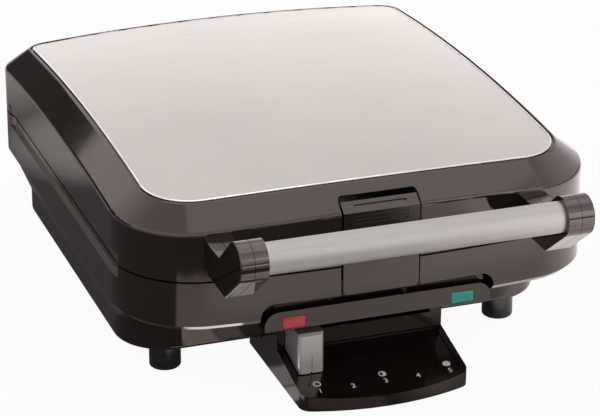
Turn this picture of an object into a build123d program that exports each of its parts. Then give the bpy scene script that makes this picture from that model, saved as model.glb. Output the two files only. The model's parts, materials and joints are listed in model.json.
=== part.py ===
"""Square four-slice belgian waffle maker with hinged lid, tube handle, rocking latch and browning slide.

Millimetres, +Z up, +X to the right of someone who faces the front, -Y towards the front.
The origin is on the table below the middle of the whole object.
Distances called ahead are measured forward from the crown of the bowed front wall.
They are negative behind it.
"""
import os
from math import acos, asin, atan2, ceil, cos, degrees, hypot, pi, radians, sin, sqrt, tan

from build123d import *

# Body outline in plan
BODY_WIDTH = 305.0
BODY_DEPTH = 347.0
FRONT_BOW_RADIUS = 1100.0
FRONT_CORNER_RADIUS = 53.0
REAR_CORNER_RADIUS = 30.0
WALL = 3.4

# Heights above the table
FOOT_HEIGHT = 17.0
TRAY_TOP_Z = 33.0
WALL_FOOT_Z = 56.0
WALL_FOOT_EDGE = 3.0
SEAM_Z = 87.7
CROWN_Z = 142.5
SEAM_GAP = 1.2

# Lid crown and bevel
CROWN_RADIUS = 1600.0
BEVEL_RUN = 17.0
BEVEL_DROP = 11.0
CREASE_RADIUS = 3.0
PLATE_THICKNESS = 0.9
PLATE_GROOVE = 1.8
PLATE_EDGE = 0.35
PLATE_BED_MARGIN = 0.6
PLATE_BED_GAP = 0.3

# Grooved channel along both sides
CHANNEL_HALF_HEIGHT = 8.0
CHANNEL_DEPTH = 2.0
CHANNEL_FRONT_AHEAD = -41.0
CHANNEL_REAR_MARGIN = 34.0
CHANNEL_END_RADIUS = 26.0

# Bottom tray
TRAY_HALF_WIDTH = 141.0
TRAY_FRONT_AHEAD = -62.0
TRAY_REAR_MARGIN = 12.0
TRAY_CORNER_RADIUS = 34.0
TRAY_EDGE = 2.4
TRAY_SOCKET_WALL = 2.4
TRAY_WALL = 2.6
VENT_X = 52.0
VENT_SLOT_LENGTH = 70.0
VENT_SLOT_WIDTH = 3.2
VENT_SLOT_PITCH = 9.0
VENT_SLOTS = 6

# Deck frames that hold the cooking grids
DECK_THICKNESS = 3.0
DECK_CLEARANCE = 0.3
RING_WALL = 4.0
LEDGE_WIDTH = 7.0

# Cooking grids
GRID_SIZE = 259.0
GRID_CLEARANCE = 0.5
GRID_CAVITY = 236.0
GRID_CORNER_RADIUS = 14.0
GRID_FLANGE = 4.0
GRID_WALL = 3.6
GRID_DEPTH = 15.0
GRID_FLOOR = 4.0
GRID_REAR_MARGIN = 17.0
DIVIDER_WIDTH = 8.0
DIVIDER_BELOW_SEAM = 0.9
PINS_PER_SIDE = 5
PIN_BASE = 16.0
PIN_HEIGHT = 8.6
PIN_TAPER = 9.0

# Heating elements and reflector pans
ELEMENT_RADIUS = 3.6
ELEMENT_BEND = 20.0
ELEMENT_SPREAD = 84.0
ELEMENT_LEAD_X = 24.0
ELEMENT_GAP = 0.25
ELEMENT_LEAD = 14.0
TERMINAL_RADIUS = 1.5
BUSH_RADIUS = 5.6
BUSH_NECK_RADIUS = 4.4
BUSH_LENGTH = 5.0
BUSH_INNER_LIP = 0.4
PAN_FACE_GAP = 0.1
PAN_THICKNESS = 0.8
PAN_DEPTH = 28.0
PAN_CORNER_RADIUS = 12.0
PAN_CLEARANCE = 0.6

# Fasteners
SCREW_RADIUS = 1.5
SCREW_HEAD_RADIUS = 2.8
SCREW_HEAD_HEIGHT = 2.0
SCREW_FIT = 0.1
BOSS_RADIUS = 4.6
BOSS_FRONT_AHEAD = -62.0
BOSS_REAR_AHEAD = -307.0
GRID_SCREW_Y = 60.0
DECK_SCREW_LENGTH = 9.0

# Feet
FOOT_RADIUS = 10.0
FOOT_X = 113.0
FOOT_FRONT_AHEAD = -79.0
FOOT_REAR_AHEAD = -313.0
FOOT_SPIGOT_RADIUS = 6.0
FOOT_SPIGOT_HEIGHT = 2.2
FOOT_COUNTERBORE = 9.0
FOOT_EDGE = 1.6
FOOT_SCREW_GRIP = 6.0

# Rear hinges
HINGE_BEHIND = 1.5
HINGE_X = 88.0
KNUCKLE_RADIUS = 6.5
KNUCKLE_WIDTH = 13.0
EAR_THICKNESS = 5.0
KNUCKLE_GAP = 0.4
HINGE_PIN_RADIUS = 2.5
HINGE_PIN_HEAD = 1.2
HINGE_PIN_RIM = 1.3
RUNNING_FIT = 0.05
HINGE_RELIEF = 1.5
HINGE_LEAF = 3.0
HINGE_LEAF_HEIGHT = 16.0
HINGE_LEAF_OFFSET = 6.0
HINGE_LEAF_WING = 9.0
HINGE_SCREW_OFFSET = 5.2
HINGE_SCREW_TIP = 0.8
HINGE_WEB_REACH = 15.0

# Handle
HANDLE_AHEAD = 51.5
HANDLE_Z = 125.0
HANDLE_TUBE_RADIUS = 9.5
HANDLE_TUBE_WALL = 1.2
HANDLE_END_RADIUS = 12.4
HANDLE_INNER_X = 92.5
HANDLE_OUTER_X = 109.5
HANDLE_SPLIT_GAP = 0.3
HANDLE_SOCKET_DEPTH = 8.0
HANDLE_SOCKET_FIT = 0.1
ARM_BOTTOM_Z = 95.0
ARM_TOP_Z = 116.0
ARM_BOTTOM_REACH = 33.0
ARM_TOP_REACH = 22.0
ARM_BACK_AHEAD = -9.0
ARM_SCREW_Z = (100.0, 110.5)
ARM_SCREW_OFFSET = 4.4
ARM_EDGE = 1.0

# Latch
LATCH_HALF_WIDTH = 24.3
LATCH_GAP = 1.2
LATCH_FOOT_Z = 69.0
LATCH_CORNER = 3.0
LATCH_PROUD = 0.6
LATCH_THICKNESS = 3.6
LATCH_BEVEL_SHARE = 0.39
RECESS_BEVEL_SHARE = 0.68
LATCH_PIVOT_AHEAD = -9.0
LATCH_PIVOT_Z = 106.0
LATCH_BARREL_RADIUS = 4.2
LATCH_BACK_ROOM = 4.8
LATCH_PIN_RADIUS = 1.5
LATCH_HOOK_Z = 77.5
LATCH_HOOK_HEIGHT = 3.5
LATCH_HOOK_AHEAD = -5.4
LATCH_SLOT_LENGTH = 34.0
LATCH_SLOT_WIDTH = 2.4
LATCH_SLOT_DEPTH = 0.9
LATCH_RIBS = 3
LATCH_RIB_PITCH = 2.4
LATCH_RIB_WIDTH = 1.0
LATCH_RIB_DEPTH = 0.6
LUG_THICKNESS = 3.0
LUG_GAP = 0.3
KEEPER_HALF_WIDTH = 19.0
KEEPER_THICKNESS = 3.0
KEEPER_CLEARANCE = 0.6
SPRING_WIRE_RADIUS = 0.45
SPRING_COIL_RADIUS = 2.7
SPRING_TURNS = 4
SPRING_HALF_GAP = 5.0

# Indicator strip and control tongue
STRIP_HALF_WIDTH = 73.2
STRIP_AHEAD = -2.0
STRIP_FOOT_Z = 50.6
STRIP_TOP_Z = 62.8
STRIP_DEPTH = 12.0
STRIP_BACKING_Z = 74.0
STRIP_CORNER = 9.0
STRIP_NOTCH_GAP = 2.2
NOTCH_TOP_Z = 68.8
NOTCH_CORNER = 9.0
PANEL_WALL = 2.5
LEDGE_THICKNESS = 2.5
RISER_AHEAD = -34.0
TONGUE_HALF_WIDTH = 54.5
TONGUE_CORNER_AHEAD = 12.0
TONGUE_BULGE = 10.0
TONGUE_CORNER_RADIUS = 8.0
TONGUE_FOOT_Z = 1.5
TONGUE_REAR_Z = 21.5
TONGUE_FRONT_Z = 11.3
TONGUE_PANEL_INSET = 4.0
TONGUE_PANEL_LIP = 1.5
TONGUE_PANEL_SINK = 0.8
CONSOLE_BACK_GAP = 0.8
STRIP_WING_AHEAD = -23.0
CUT_START = 3.0
HEEL_REACH = 26.0
HEEL_TOP_GAP = 0.8
CONSOLE_COVER_THICKNESS = 2.0
CONSOLE_COVER_FIT = 0.3
CONSOLE_BOSS_X = 38.0
CONSOLE_BOSS_AHEAD = -24.0
CONSOLE_SCREW_LENGTH = 7.0

# Indicator lenses and lamps
LENS_X = 54.5
LENS_Z = 54.9
LENS_WIDTH = 14.7
LENS_HEIGHT = 7.2
LENS_PROUD = 0.5
LENS_FIT = 0.15
LENS_FLANGE = 1.2
LENS_FLANGE_THICKNESS = 1.5
LAMP_RADIUS = 2.8
LAMP_LENGTH = 11.0
LAMP_GAP = 0.3

# Browning slide
KNOB_WIDTH = 16.4
KNOB_TOP_Z = 42.4
KNOB_FRONT_AHEAD = -8.0
KNOB_GAP = 0.8
KNOB_EDGE = 2.2
KNOB_TOP_EDGE = 1.6
KNOB_GROOVE_WIDTH = 1.4
KNOB_GROOVE_DEPTH = 0.8
KNOB_GROOVE_TOP_Z = 26.4
SETTING_PITCH = 20.6
SETTINGS = 5
SLIDE_SLOT_FOOT_Z = 31.5
SLIDE_SLOT_HEIGHT = 7.0
STEM_CLEARANCE = 0.4
STEM_WIDTH = 9.0
STEM_SOCKET = 6.0
CARRIAGE_WIDTH = 16.0
CARRIAGE_THICKNESS = 6.0
RAIL_LUG_FOOT = 8.0
RAIL_RADIUS = 2.0
RAIL_Z = 57.5
RAIL_LUG_THICKNESS = 4.0
RAIL_LUG_FRONT = 3.6
RAIL_LUG_BACK = 2.4
RAIL_LUG_HEAD = 4.0

# Thermostat drive
GEAR_MODULE = 1.5
PINION_TEETH = 22
PRESSURE_ANGLE = 20.0
GEAR_WIDTH = 4.0
GEAR_ADDENDUM = 0.9
GEAR_DEDENDUM = 1.25
GEAR_FOOT_Z = 44.6
RACK_BACKING = 2.5
RACK_BACKLASH = 0.35
PINION_SHAFT_RADIUS = 3.0
SHAFT_PRESS_GAP = 0.02
PINION_HUB_WALL = 2.5
SHAFT_BELOW_GEAR = 1.5
SHAFT_DEPTH = 9.0
RACK_EXTRA_TEETH = 3
THERMOSTAT_WIDTH = 26.0
THERMOSTAT_FRONT_AHEAD = -55.0
THERMOSTAT_HEIGHT = 14.0
BLADE_THICKNESS = 0.8

# Small electrical pieces
FUSE_RADIUS = 2.2
FUSE_LENGTH = 12.0
FUSE_X = 62.0
FUSE_Z = 63.0
FUSE_CLIP = 0.8
FUSE_CLIP_WIDTH = 6.0
TERMINAL_BLOCK_SIZE = (34.0, 10.0, 12.0)
TERMINAL_BLOCK_X = -68.0
TERMINAL_WELL_RADIUS = 2.4
CORD_INLET_X = 40.0
CORD_INLET_Z = 71.0
CORD_INLET_RADIUS = 6.5
CORD_BORE_RADIUS = 3.6
CORD_FLANGE_RADIUS = 9.0
CORD_FLANGE_THICKNESS = 3.9
CORD_SLEEVE = 7.0

# Worked out from the sizes above
HANDLE_REACH = HANDLE_AHEAD + HANDLE_END_RADIUS
HINGE_REACH = HINGE_BEHIND + KNUCKLE_RADIUS
TOTAL_DEPTH = HANDLE_REACH + BODY_DEPTH + HINGE_REACH
FRONT_Y = -TOTAL_DEPTH / 2 + HANDLE_REACH
REAR_Y = FRONT_Y + BODY_DEPTH
BODY_MID_Y = (FRONT_Y + REAR_Y) / 2
BASE_TOP_Z = SEAM_Z - SEAM_GAP / 2
LID_FOOT_Z = SEAM_Z + SEAM_GAP / 2
GRID_MID_Y = REAR_Y - GRID_REAR_MARGIN - GRID_SIZE / 2
OPENING_SIZE = GRID_SIZE + 2 * GRID_CLEARANCE
RING_SIZE = OPENING_SIZE + 2 * RING_WALL
LEDGE_SIZE = OPENING_SIZE - 2 * LEDGE_WIDTH
LEDGE_TOP_Z = BASE_TOP_Z - GRID_FLANGE
LEDGE_FOOT_Z = LEDGE_TOP_Z - DECK_THICKNESS
GRID_FOOT_Z = BASE_TOP_Z - GRID_DEPTH
PAN_INSIDE = GRID_CAVITY + 2 * GRID_WALL + 2 * PAN_CLEARANCE
PAN_FOOT_Z = LEDGE_FOOT_Z - PAN_DEPTH
PAN_FRONT_Y = GRID_MID_Y - PAN_INSIDE / 2 - PAN_THICKNESS
ELEMENT_Z = GRID_FOOT_Z - ELEMENT_GAP - ELEMENT_RADIUS
HINGE_Y = REAR_Y + HINGE_BEHIND
HINGE_HALF_WIDTH = KNUCKLE_WIDTH / 2 + KNUCKLE_GAP + EAR_THICKNESS
KNOB_X = -SETTING_PITCH * (SETTINGS - 1) / 2
KNOB_TRAVEL = SETTING_PITCH * (SETTINGS - 1)
PITCH_RADIUS = GEAR_MODULE * PINION_TEETH / 2
CARRIAGE_FRONT_AHEAD = RISER_AHEAD - PANEL_WALL - 2.0
CARRIAGE_BACK_AHEAD = CARRIAGE_FRONT_AHEAD - CARRIAGE_THICKNESS
RACK_PITCH_AHEAD = CARRIAGE_BACK_AHEAD - RACK_BACKING - GEAR_DEDENDUM * GEAR_MODULE
PINION_AHEAD = RACK_PITCH_AHEAD - PITCH_RADIUS
THERMOSTAT_FOOT_Z = GEAR_FOOT_Z + GEAR_WIDTH + 1.3
CONSOLE_COVER_FOOT_Z = TONGUE_FOOT_Z + SCREW_HEAD_HEIGHT
CONSOLE_COVER_TOP_Z = CONSOLE_COVER_FOOT_Z + CONSOLE_COVER_THICKNESS
LATCH_HOOK_TOP_Z = LATCH_HOOK_Z + 0.3 * LATCH_HOOK_HEIGHT
HEEL_TOP_Z = FOOT_HEIGHT - HEEL_TOP_GAP
TONGUE_BACK_AHEAD = TRAY_FRONT_AHEAD + CONSOLE_BACK_GAP
HEEL_BACK_AHEAD = TONGUE_BACK_AHEAD - HEEL_REACH
MIRROR_SEAM = Plane.XY.offset(SEAM_Z)


def ahead(distance):
    """Y of a point that lies this far forward of the front wall's crown."""
    return FRONT_Y - distance


def block(x_range, y_range, z_range):
    """A box between two limits on each axis."""
    size = [limits[1] - limits[0] for limits in (x_range, y_range, z_range)]
    middle = [(limits[0] + limits[1]) / 2 for limits in (x_range, y_range, z_range)]
    return Pos(*middle) * Box(*size)


def rod_x(x_range, y, z, radius):
    """A cylinder along X."""
    length = x_range[1] - x_range[0]
    middle = (x_range[0] + x_range[1]) / 2
    return Pos(middle, y, z) * Rot(0, 90, 0) * Cylinder(radius, length)


def rod_y(x, y_range, z, radius):
    """A cylinder along Y."""
    length = y_range[1] - y_range[0]
    middle = (y_range[0] + y_range[1]) / 2
    return Pos(x, middle, z) * Rot(90, 0, 0) * Cylinder(radius, length)


def rod_z(x, y, z_range, radius):
    """A cylinder along Z."""
    length = z_range[1] - z_range[0]
    middle = (z_range[0] + z_range[1]) / 2
    return Pos(x, y, middle) * Cylinder(radius, length)


def body_plan(inset=0.0):
    """The body outline in plan, moved inwards: straight sides and rear, bowed front, round corners."""
    width = BODY_WIDTH - 2 * inset
    rear = REAR_Y - inset
    front = FRONT_Y + inset
    bow = FRONT_BOW_RADIUS - inset
    sheet = Pos(0, (front + rear) / 2) * Rectangle(width, rear - front)
    sheet = sheet & (Pos(0, front + bow) * Circle(bow))
    corners = sheet.vertices().sort_by(Axis.Y)
    sheet = fillet(corners[:2], FRONT_CORNER_RADIUS - inset)
    corners = [corner for corner in sheet.vertices() if corner.Y > rear - 0.01]
    return fillet(corners, REAR_CORNER_RADIUS - inset)


def tray_plan(inset=0.0):
    """The bottom tray's outline in plan, moved inwards."""
    front = ahead(TRAY_FRONT_AHEAD) + inset
    rear = REAR_Y - TRAY_REAR_MARGIN - inset
    sheet = RectangleRounded(2 * (TRAY_HALF_WIDTH - inset), rear - front, TRAY_CORNER_RADIUS - inset)
    return Pos(0, (front + rear) / 2) * sheet


def square(size, radius):
    """A round-cornered square centred on the cooking grids."""
    return Pos(0, GRID_MID_Y) * RectangleRounded(size, size, radius)


def raised(sheet, z_range):
    """A plan sheet extruded between two heights."""
    return extrude(Pos(0, 0, z_range[0]) * sheet, z_range[1] - z_range[0])


def side_profile(points, x_range):
    """A closed outline of (ahead, height) points, extruded along X."""
    outline = Polyline(*[(ahead(distance), height) for distance, height in points], close=True)
    sheet = Plane.YZ * make_face(outline)
    return Pos(x_range[0], 0, 0) * extrude(sheet, x_range[1] - x_range[0])


def dome(drop=0.0):
    """The ball whose top is the lid's crown, lowered by a sheet's thickness."""
    return Pos(0, BODY_MID_Y, CROWN_Z - CROWN_RADIUS) * Rot(90, 0, 0) * Sphere(CROWN_RADIUS - drop)


def on_crown(x, y):
    """Height of the crown above a point in plan."""
    return CROWN_Z - CROWN_RADIUS + sqrt(CROWN_RADIUS ** 2 - x ** 2 - (y - BODY_MID_Y) ** 2)


def lid_form(inset, drop, foot_z):
    """The lid's outer form moved inwards: upright walls, a bevel all round and a crowned top."""
    form = raised(body_plan(inset), (foot_z, CROWN_Z + 5)) & dome(drop)
    top = form.faces().sort_by(Axis.Z)[-1]
    return chamfer(top.edges(), BEVEL_RUN, BEVEL_DROP, reference=top)


def hinge_relief(x, z_range):
    """What both housings and decks give up round one hinge."""
    half = HINGE_HALF_WIDTH + HINGE_RELIEF
    window = block((x - half, x + half), (REAR_Y - WALL - 1, REAR_Y + 1), z_range)
    sweep = rod_x((x - half, x + half), HINGE_Y, SEAM_Z, KNUCKLE_RADIUS + HINGE_RELIEF)
    return window + sweep


def channel_cut(side):
    """The shallow channel along one side, which runs out in a curve behind the front corner."""
    outer = BODY_WIDTH / 2 + 1
    depth_line = BODY_WIDTH / 2 - CHANNEL_DEPTH
    runout = sqrt(CHANNEL_END_RADIUS ** 2 - (CHANNEL_END_RADIUS - CHANNEL_DEPTH) ** 2)
    front = ahead(CHANNEL_FRONT_AHEAD) + runout
    rear = REAR_Y - CHANNEL_REAR_MARGIN - runout
    reach = 2 * runout
    middle = (outer + depth_line) / 2
    thickness = outer - depth_line
    z_span = (SEAM_Z - CHANNEL_HALF_HEIGHT, SEAM_Z + CHANNEL_HALF_HEIGHT)
    strip = Pos(middle, (front + rear) / 2) * Rectangle(thickness, rear - front)
    cut = raised(strip, z_span)
    for end, direction in ((front, -1), (rear, 1)):
        scoop = Pos(depth_line + CHANNEL_END_RADIUS, end) * Circle(CHANNEL_END_RADIUS)
        limit = Pos(middle, end + direction * reach / 2) * Rectangle(thickness, reach)
        cut += raised(scoop & limit, z_span)
    return cut if side > 0 else mirror(cut, Plane.YZ)


def screw(head_z, length, x, y, upward=True):
    """A round-headed screw on a vertical axis: the head below and the shank above, or the other way up."""
    sign = 1 if upward else -1
    far = head_z + sign * SCREW_HEAD_HEIGHT
    tip = far + sign * length
    head = rod_z(x, y, sorted((head_z, far)), SCREW_HEAD_RADIUS)
    shank = rod_z(x, y, sorted((far, tip)), SCREW_RADIUS)
    return head + shank


FOOT_POINTS = {
    "front_left": (-FOOT_X, ahead(FOOT_FRONT_AHEAD)),
    "front_right": (FOOT_X, ahead(FOOT_FRONT_AHEAD)),
    "rear_left": (-FOOT_X, ahead(FOOT_REAR_AHEAD)),
    "rear_right": (FOOT_X, ahead(FOOT_REAR_AHEAD)),
}
GRID_SCREW_OFFSET = (LEDGE_SIZE + GRID_SIZE) / 4
GRID_SCREW_POINTS = [(sx * GRID_SCREW_OFFSET, GRID_MID_Y + sy * GRID_SCREW_Y)
                     for sx in (-1, 1) for sy in (-1, 1)]
DECK_BOSS_X = BODY_WIDTH / 2 - WALL - 2 * BOSS_RADIUS - 1.0
DECK_BOSS_POINTS = [(sx * DECK_BOSS_X, ahead(distance))
                    for distance in (BOSS_FRONT_AHEAD, BOSS_REAR_AHEAD) for sx in (-1, 1)]
CONSOLE_BOSS_POINTS = [(side * CONSOLE_BOSS_X, ahead(CONSOLE_BOSS_AHEAD)) for side in (-1, 1)]
ARM_SPLIT_X = (HANDLE_INNER_X + HANDLE_OUTER_X) / 2
ARM_SCREW_X = ARM_SPLIT_X - ARM_SCREW_OFFSET


def base_housing():
    """Lower casing: upright wall, an underside sloping to the tray, notches for strip, latch and hinges."""
    def shell(inset, lift):
        foot_z = WALL_FOOT_Z + lift
        wall_z = foot_z + WALL_FOOT_EDGE
        foot_plan = body_plan(inset + WALL_FOOT_EDGE)
        wall = raised(body_plan(inset), (wall_z, BASE_TOP_Z))
        edge = loft([Pos(0, 0, foot_z) * foot_plan, Pos(0, 0, wall_z) * body_plan(inset)], ruled=True)
        bowl = loft([Pos(0, 0, TRAY_TOP_Z) * tray_plan(inset), Pos(0, 0, foot_z) * foot_plan], ruled=True)
        return wall + edge + bowl

    body = shell(0.0, 0.0) - shell(WALL, 1.2)
    for x, y in DECK_BOSS_POINTS:
        body += rod_z(x, y, (TRAY_TOP_Z, BASE_TOP_Z - DECK_THICKNESS), BOSS_RADIUS) & shell(0.5, 0.0)
    for side in (-1, 1):
        body -= channel_cut(side)
        body -= hinge_relief(side * HINGE_X, (SEAM_Z - HINGE_WEB_REACH - HINGE_RELIEF, SEAM_Z + 1))
    for x, z in hinge_screw_places(False):
        y_span = (REAR_Y - 2 * WALL, REAR_Y - HINGE_SCREW_TIP + SCREW_FIT)
        body -= rod_y(x, y_span, z, SCREW_RADIUS + SCREW_FIT)
    half = STRIP_HALF_WIDTH + STRIP_NOTCH_GAP
    low = STRIP_FOOT_Z - CONSOLE_BACK_GAP
    notch = Pos(0, (low + NOTCH_TOP_Z) / 2) * Rectangle(2 * half, NOTCH_TOP_Z - low)
    notch = fillet(notch.vertices().sort_by(Axis.Y)[-2:], NOTCH_CORNER)
    notch_depth = CUT_START + CONSOLE_BACK_GAP - STRIP_WING_AHEAD
    body -= Pos(0, ahead(CUT_START), 0) * (Plane.XZ * extrude(notch, -notch_depth))
    half = TONGUE_HALF_WIDTH + CONSOLE_BACK_GAP
    body -= block((-half, half), (ahead(STRIP_WING_AHEAD + 8), ahead(TRAY_FRONT_AHEAD - WALL - 1)),
                  (TRAY_TOP_Z - 1, STRIP_FOOT_Z + 8))
    half = LATCH_HALF_WIDTH + LATCH_GAP
    body -= block((-half, half), (ahead(CUT_START), ahead(-WALL - 1)), (NOTCH_TOP_Z - 2, SEAM_Z))
    body -= rod_y(CORD_INLET_X, (REAR_Y - WALL - 12, REAR_Y + 2), CORD_INLET_Z, CORD_INLET_RADIUS + SCREW_FIT)
    for x, y in DECK_BOSS_POINTS:
        body -= rod_z(x, y, (WALL_FOOT_Z + 10, BASE_TOP_Z), SCREW_RADIUS + SCREW_FIT)
    return body


def tray():
    """Bottom cover: a shallow tray with cooling slots and a socket for each foot."""
    body = raised(tray_plan(), (FOOT_HEIGHT, TRAY_TOP_Z))
    body = fillet(body.faces().sort_by(Axis.Z)[0].edges(), TRAY_EDGE)
    body -= raised(tray_plan(TRAY_WALL), (FOOT_HEIGHT + TRAY_WALL, TRAY_TOP_Z + 1))
    for x, y in FOOT_POINTS.values():
        body += rod_z(x, y, (FOOT_HEIGHT + 0.5, TRAY_TOP_Z - 4), FOOT_SPIGOT_RADIUS + TRAY_SOCKET_WALL)
        body -= rod_z(x, y, (FOOT_HEIGHT - 1, FOOT_HEIGHT + FOOT_SPIGOT_HEIGHT + SCREW_FIT),
                      FOOT_SPIGOT_RADIUS + SCREW_FIT)
        body -= rod_z(x, y, (FOOT_HEIGHT, TRAY_TOP_Z - 6), SCREW_RADIUS + SCREW_FIT)
    slots = [Pos(sx * VENT_X, GRID_MID_Y + (row - (VENT_SLOTS - 1) / 2) * VENT_SLOT_PITCH, FOOT_HEIGHT)
             for sx in (-1, 1) for row in range(VENT_SLOTS)]
    cutter = extrude(SlotOverall(VENT_SLOT_LENGTH, VENT_SLOT_WIDTH), 3 * TRAY_WALL, both=True)
    return body - [place * cutter for place in slots]


def foot(x, y):
    """A round foot with a spigot on top and a deep counterbore for its screw."""
    body = rod_z(0, 0, (0, FOOT_HEIGHT), FOOT_RADIUS)
    body = fillet(body.faces().sort_by(Axis.Z)[0].edges(), FOOT_EDGE)
    body += rod_z(0, 0, (FOOT_HEIGHT, FOOT_HEIGHT + FOOT_SPIGOT_HEIGHT), FOOT_SPIGOT_RADIUS)
    body -= rod_z(0, 0, (-1, FOOT_COUNTERBORE), SCREW_HEAD_RADIUS + 0.6)
    body -= rod_z(0, 0, (0, FOOT_HEIGHT + FOOT_SPIGOT_HEIGHT + 1), SCREW_RADIUS + SCREW_FIT)
    return Pos(x, y, 0) * body


def foot_screws():
    """One screw up through each foot into the tray."""
    length = FOOT_HEIGHT - FOOT_COUNTERBORE + FOOT_SCREW_GRIP
    return [screw(FOOT_COUNTERBORE - SCREW_HEAD_HEIGHT, length, x, y) for x, y in FOOT_POINTS.values()]


def deck(latch_depth):
    """The flat deck round the cooking grid of the base, with the ring and ledge that the grid sits in."""
    plate = raised(body_plan(WALL + DECK_CLEARANCE), (BASE_TOP_Z - DECK_THICKNESS, BASE_TOP_Z))
    ring_plan = square(RING_SIZE, GRID_CORNER_RADIUS + RING_WALL)
    ring = raised(ring_plan, (LEDGE_FOOT_Z, BASE_TOP_Z - DECK_THICKNESS))
    opening = square(OPENING_SIZE, GRID_CORNER_RADIUS + GRID_CLEARANCE)
    window = square(LEDGE_SIZE, GRID_CORNER_RADIUS - LEDGE_WIDTH + GRID_CLEARANCE)
    body = plate + ring
    body -= raised(opening, (LEDGE_TOP_Z, BASE_TOP_Z + 1))
    body -= raised(window, (LEDGE_FOOT_Z - 1, BASE_TOP_Z))
    for side in (-1, 1):
        body -= hinge_relief(side * HINGE_X, (SEAM_Z - 20, SEAM_Z + 5))
        half = HINGE_HALF_WIDTH + HINGE_RELIEF
        body -= block((side * HINGE_X - half, side * HINGE_X + half),
                      (REAR_Y - WALL - HINGE_LEAF - 0.6, REAR_Y), (SEAM_Z - 20, SEAM_Z + 5))
    body -= block((-LATCH_HALF_WIDTH - LATCH_GAP, LATCH_HALF_WIDTH + LATCH_GAP),
                  (ahead(0), ahead(-latch_depth)), (SEAM_Z - 20, SEAM_Z + 5))
    for x, y in GRID_SCREW_POINTS:
        body -= rod_z(x, y, (LEDGE_FOOT_Z - 1, LEDGE_TOP_Z + 1), SCREW_RADIUS + SCREW_FIT)
    return body


def base_deck():
    """The base's deck, with holes over its bosses."""
    body = deck(-LATCH_HOOK_AHEAD + KEEPER_CLEARANCE)
    for x, y in DECK_BOSS_POINTS:
        body -= rod_z(x, y, (BASE_TOP_Z - DECK_THICKNESS - 1, BASE_TOP_Z + 1), SCREW_RADIUS + SCREW_FIT)
        body -= rod_z(x, y, (BASE_TOP_Z - SCREW_HEAD_HEIGHT, BASE_TOP_Z + 1), SCREW_HEAD_RADIUS + SCREW_FIT)
    return body


def deck_screws():
    """Screws that hold the base's deck on its bosses."""
    return [screw(BASE_TOP_Z, DECK_SCREW_LENGTH, x, y, upward=False) for x, y in DECK_BOSS_POINTS]


def lid_deck():
    """The lid's deck, the base's turned over, with two lugs that carry the latch pin."""
    body = mirror(deck(LATCH_BACK_ROOM), MIRROR_SEAM)
    top = LID_FOOT_Z + DECK_THICKNESS
    for side in (-1, 1):
        inner = side * (LATCH_HALF_WIDTH - LUG_THICKNESS)
        outer = side * LATCH_HALF_WIDTH
        span = sorted((inner, outer))
        body += block(span, (ahead(-LATCH_BACK_ROOM), ahead(LATCH_PIVOT_AHEAD - LATCH_BARREL_RADIUS)),
                      (top - 0.5, LATCH_PIVOT_Z))
        body += rod_x(span, ahead(LATCH_PIVOT_AHEAD), LATCH_PIVOT_Z, LATCH_BARREL_RADIUS)
    pin_span = (-LATCH_HALF_WIDTH - 1, LATCH_HALF_WIDTH + 1)
    body -= rod_x(pin_span, ahead(LATCH_PIVOT_AHEAD), LATCH_PIVOT_Z, LATCH_PIN_RADIUS + RUNNING_FIT)
    for x, y in DECK_BOSS_POINTS:
        body -= rod_z(x, y, (LID_FOOT_Z - 1, top + 1), SCREW_RADIUS + SCREW_FIT)
        body -= rod_z(x, y, (LID_FOOT_Z - 1, LID_FOOT_Z + SCREW_HEAD_HEIGHT), SCREW_HEAD_RADIUS + SCREW_FIT)
    return body


def lid_deck_screws():
    """Screws that hold the lid's deck on the shell's bosses."""
    return [screw(LID_FOOT_Z, DECK_SCREW_LENGTH, x, y) for x, y in DECK_BOSS_POINTS]


def lid_housing():
    """Upper casing: upright wall, bevel and crown, a bed for the cover plate and a recess for the latch."""
    body = lid_form(0.0, 0.0, LID_FOOT_Z)
    crease = [edge for edge in body.edges()
              if SEAM_Z + 20 < edge.center().Z < CROWN_Z - BEVEL_DROP - 1 and abs((edge % 0.5).Z) < 0.5]
    body = fillet(crease, CREASE_RADIUS)
    bed_plan = body_plan(BEVEL_RUN + PLATE_BED_MARGIN)
    body -= raised(bed_plan, (SEAM_Z, CROWN_Z + 5)) - dome(PLATE_THICKNESS + PLATE_BED_GAP)
    body -= lid_form(WALL, WALL + 1.0, LID_FOOT_Z - 1)
    for x, y in DECK_BOSS_POINTS:
        post = rod_z(x, y, (LID_FOOT_Z + DECK_THICKNESS, CROWN_Z), BOSS_RADIUS)
        post -= rod_z(x, y, (LID_FOOT_Z, LID_FOOT_Z + 16), SCREW_RADIUS + SCREW_FIT)
        body += post & lid_form(0.8, 2.0, LID_FOOT_Z - 1)
    for side in (-1, 1):
        body -= channel_cut(side)
        body -= hinge_relief(side * HINGE_X, (SEAM_Z - 1, SEAM_Z + HINGE_WEB_REACH + HINGE_RELIEF))
        for z in ARM_SCREW_Z:
            body -= rod_y(side * ARM_SCREW_X, (ahead(2), ahead(-14)), z, SCREW_RADIUS + SCREW_FIT)
    for x, z in hinge_screw_places(True):
        y_span = (REAR_Y - 2 * WALL, REAR_Y - HINGE_SCREW_TIP + SCREW_FIT)
        body -= rod_y(x, y_span, z, SCREW_RADIUS + SCREW_FIT)
    half = LATCH_HALF_WIDTH + LATCH_GAP
    crease_z = on_crown(0, FRONT_Y) - BEVEL_DROP
    top_z = crease_z + BEVEL_DROP * RECESS_BEVEL_SHARE
    depth = -BEVEL_RUN * RECESS_BEVEL_SHARE
    pocket = Pos(0, (SEAM_Z + top_z) / 2) * Rectangle(2 * half, top_z - SEAM_Z)
    pocket = fillet(pocket.vertices().sort_by(Axis.Y)[-2:], LATCH_CORNER)
    return body - Pos(0, ahead(CUT_START), 0) * (Plane.XZ * extrude(pocket, depth - CUT_START - WALL))


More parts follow.
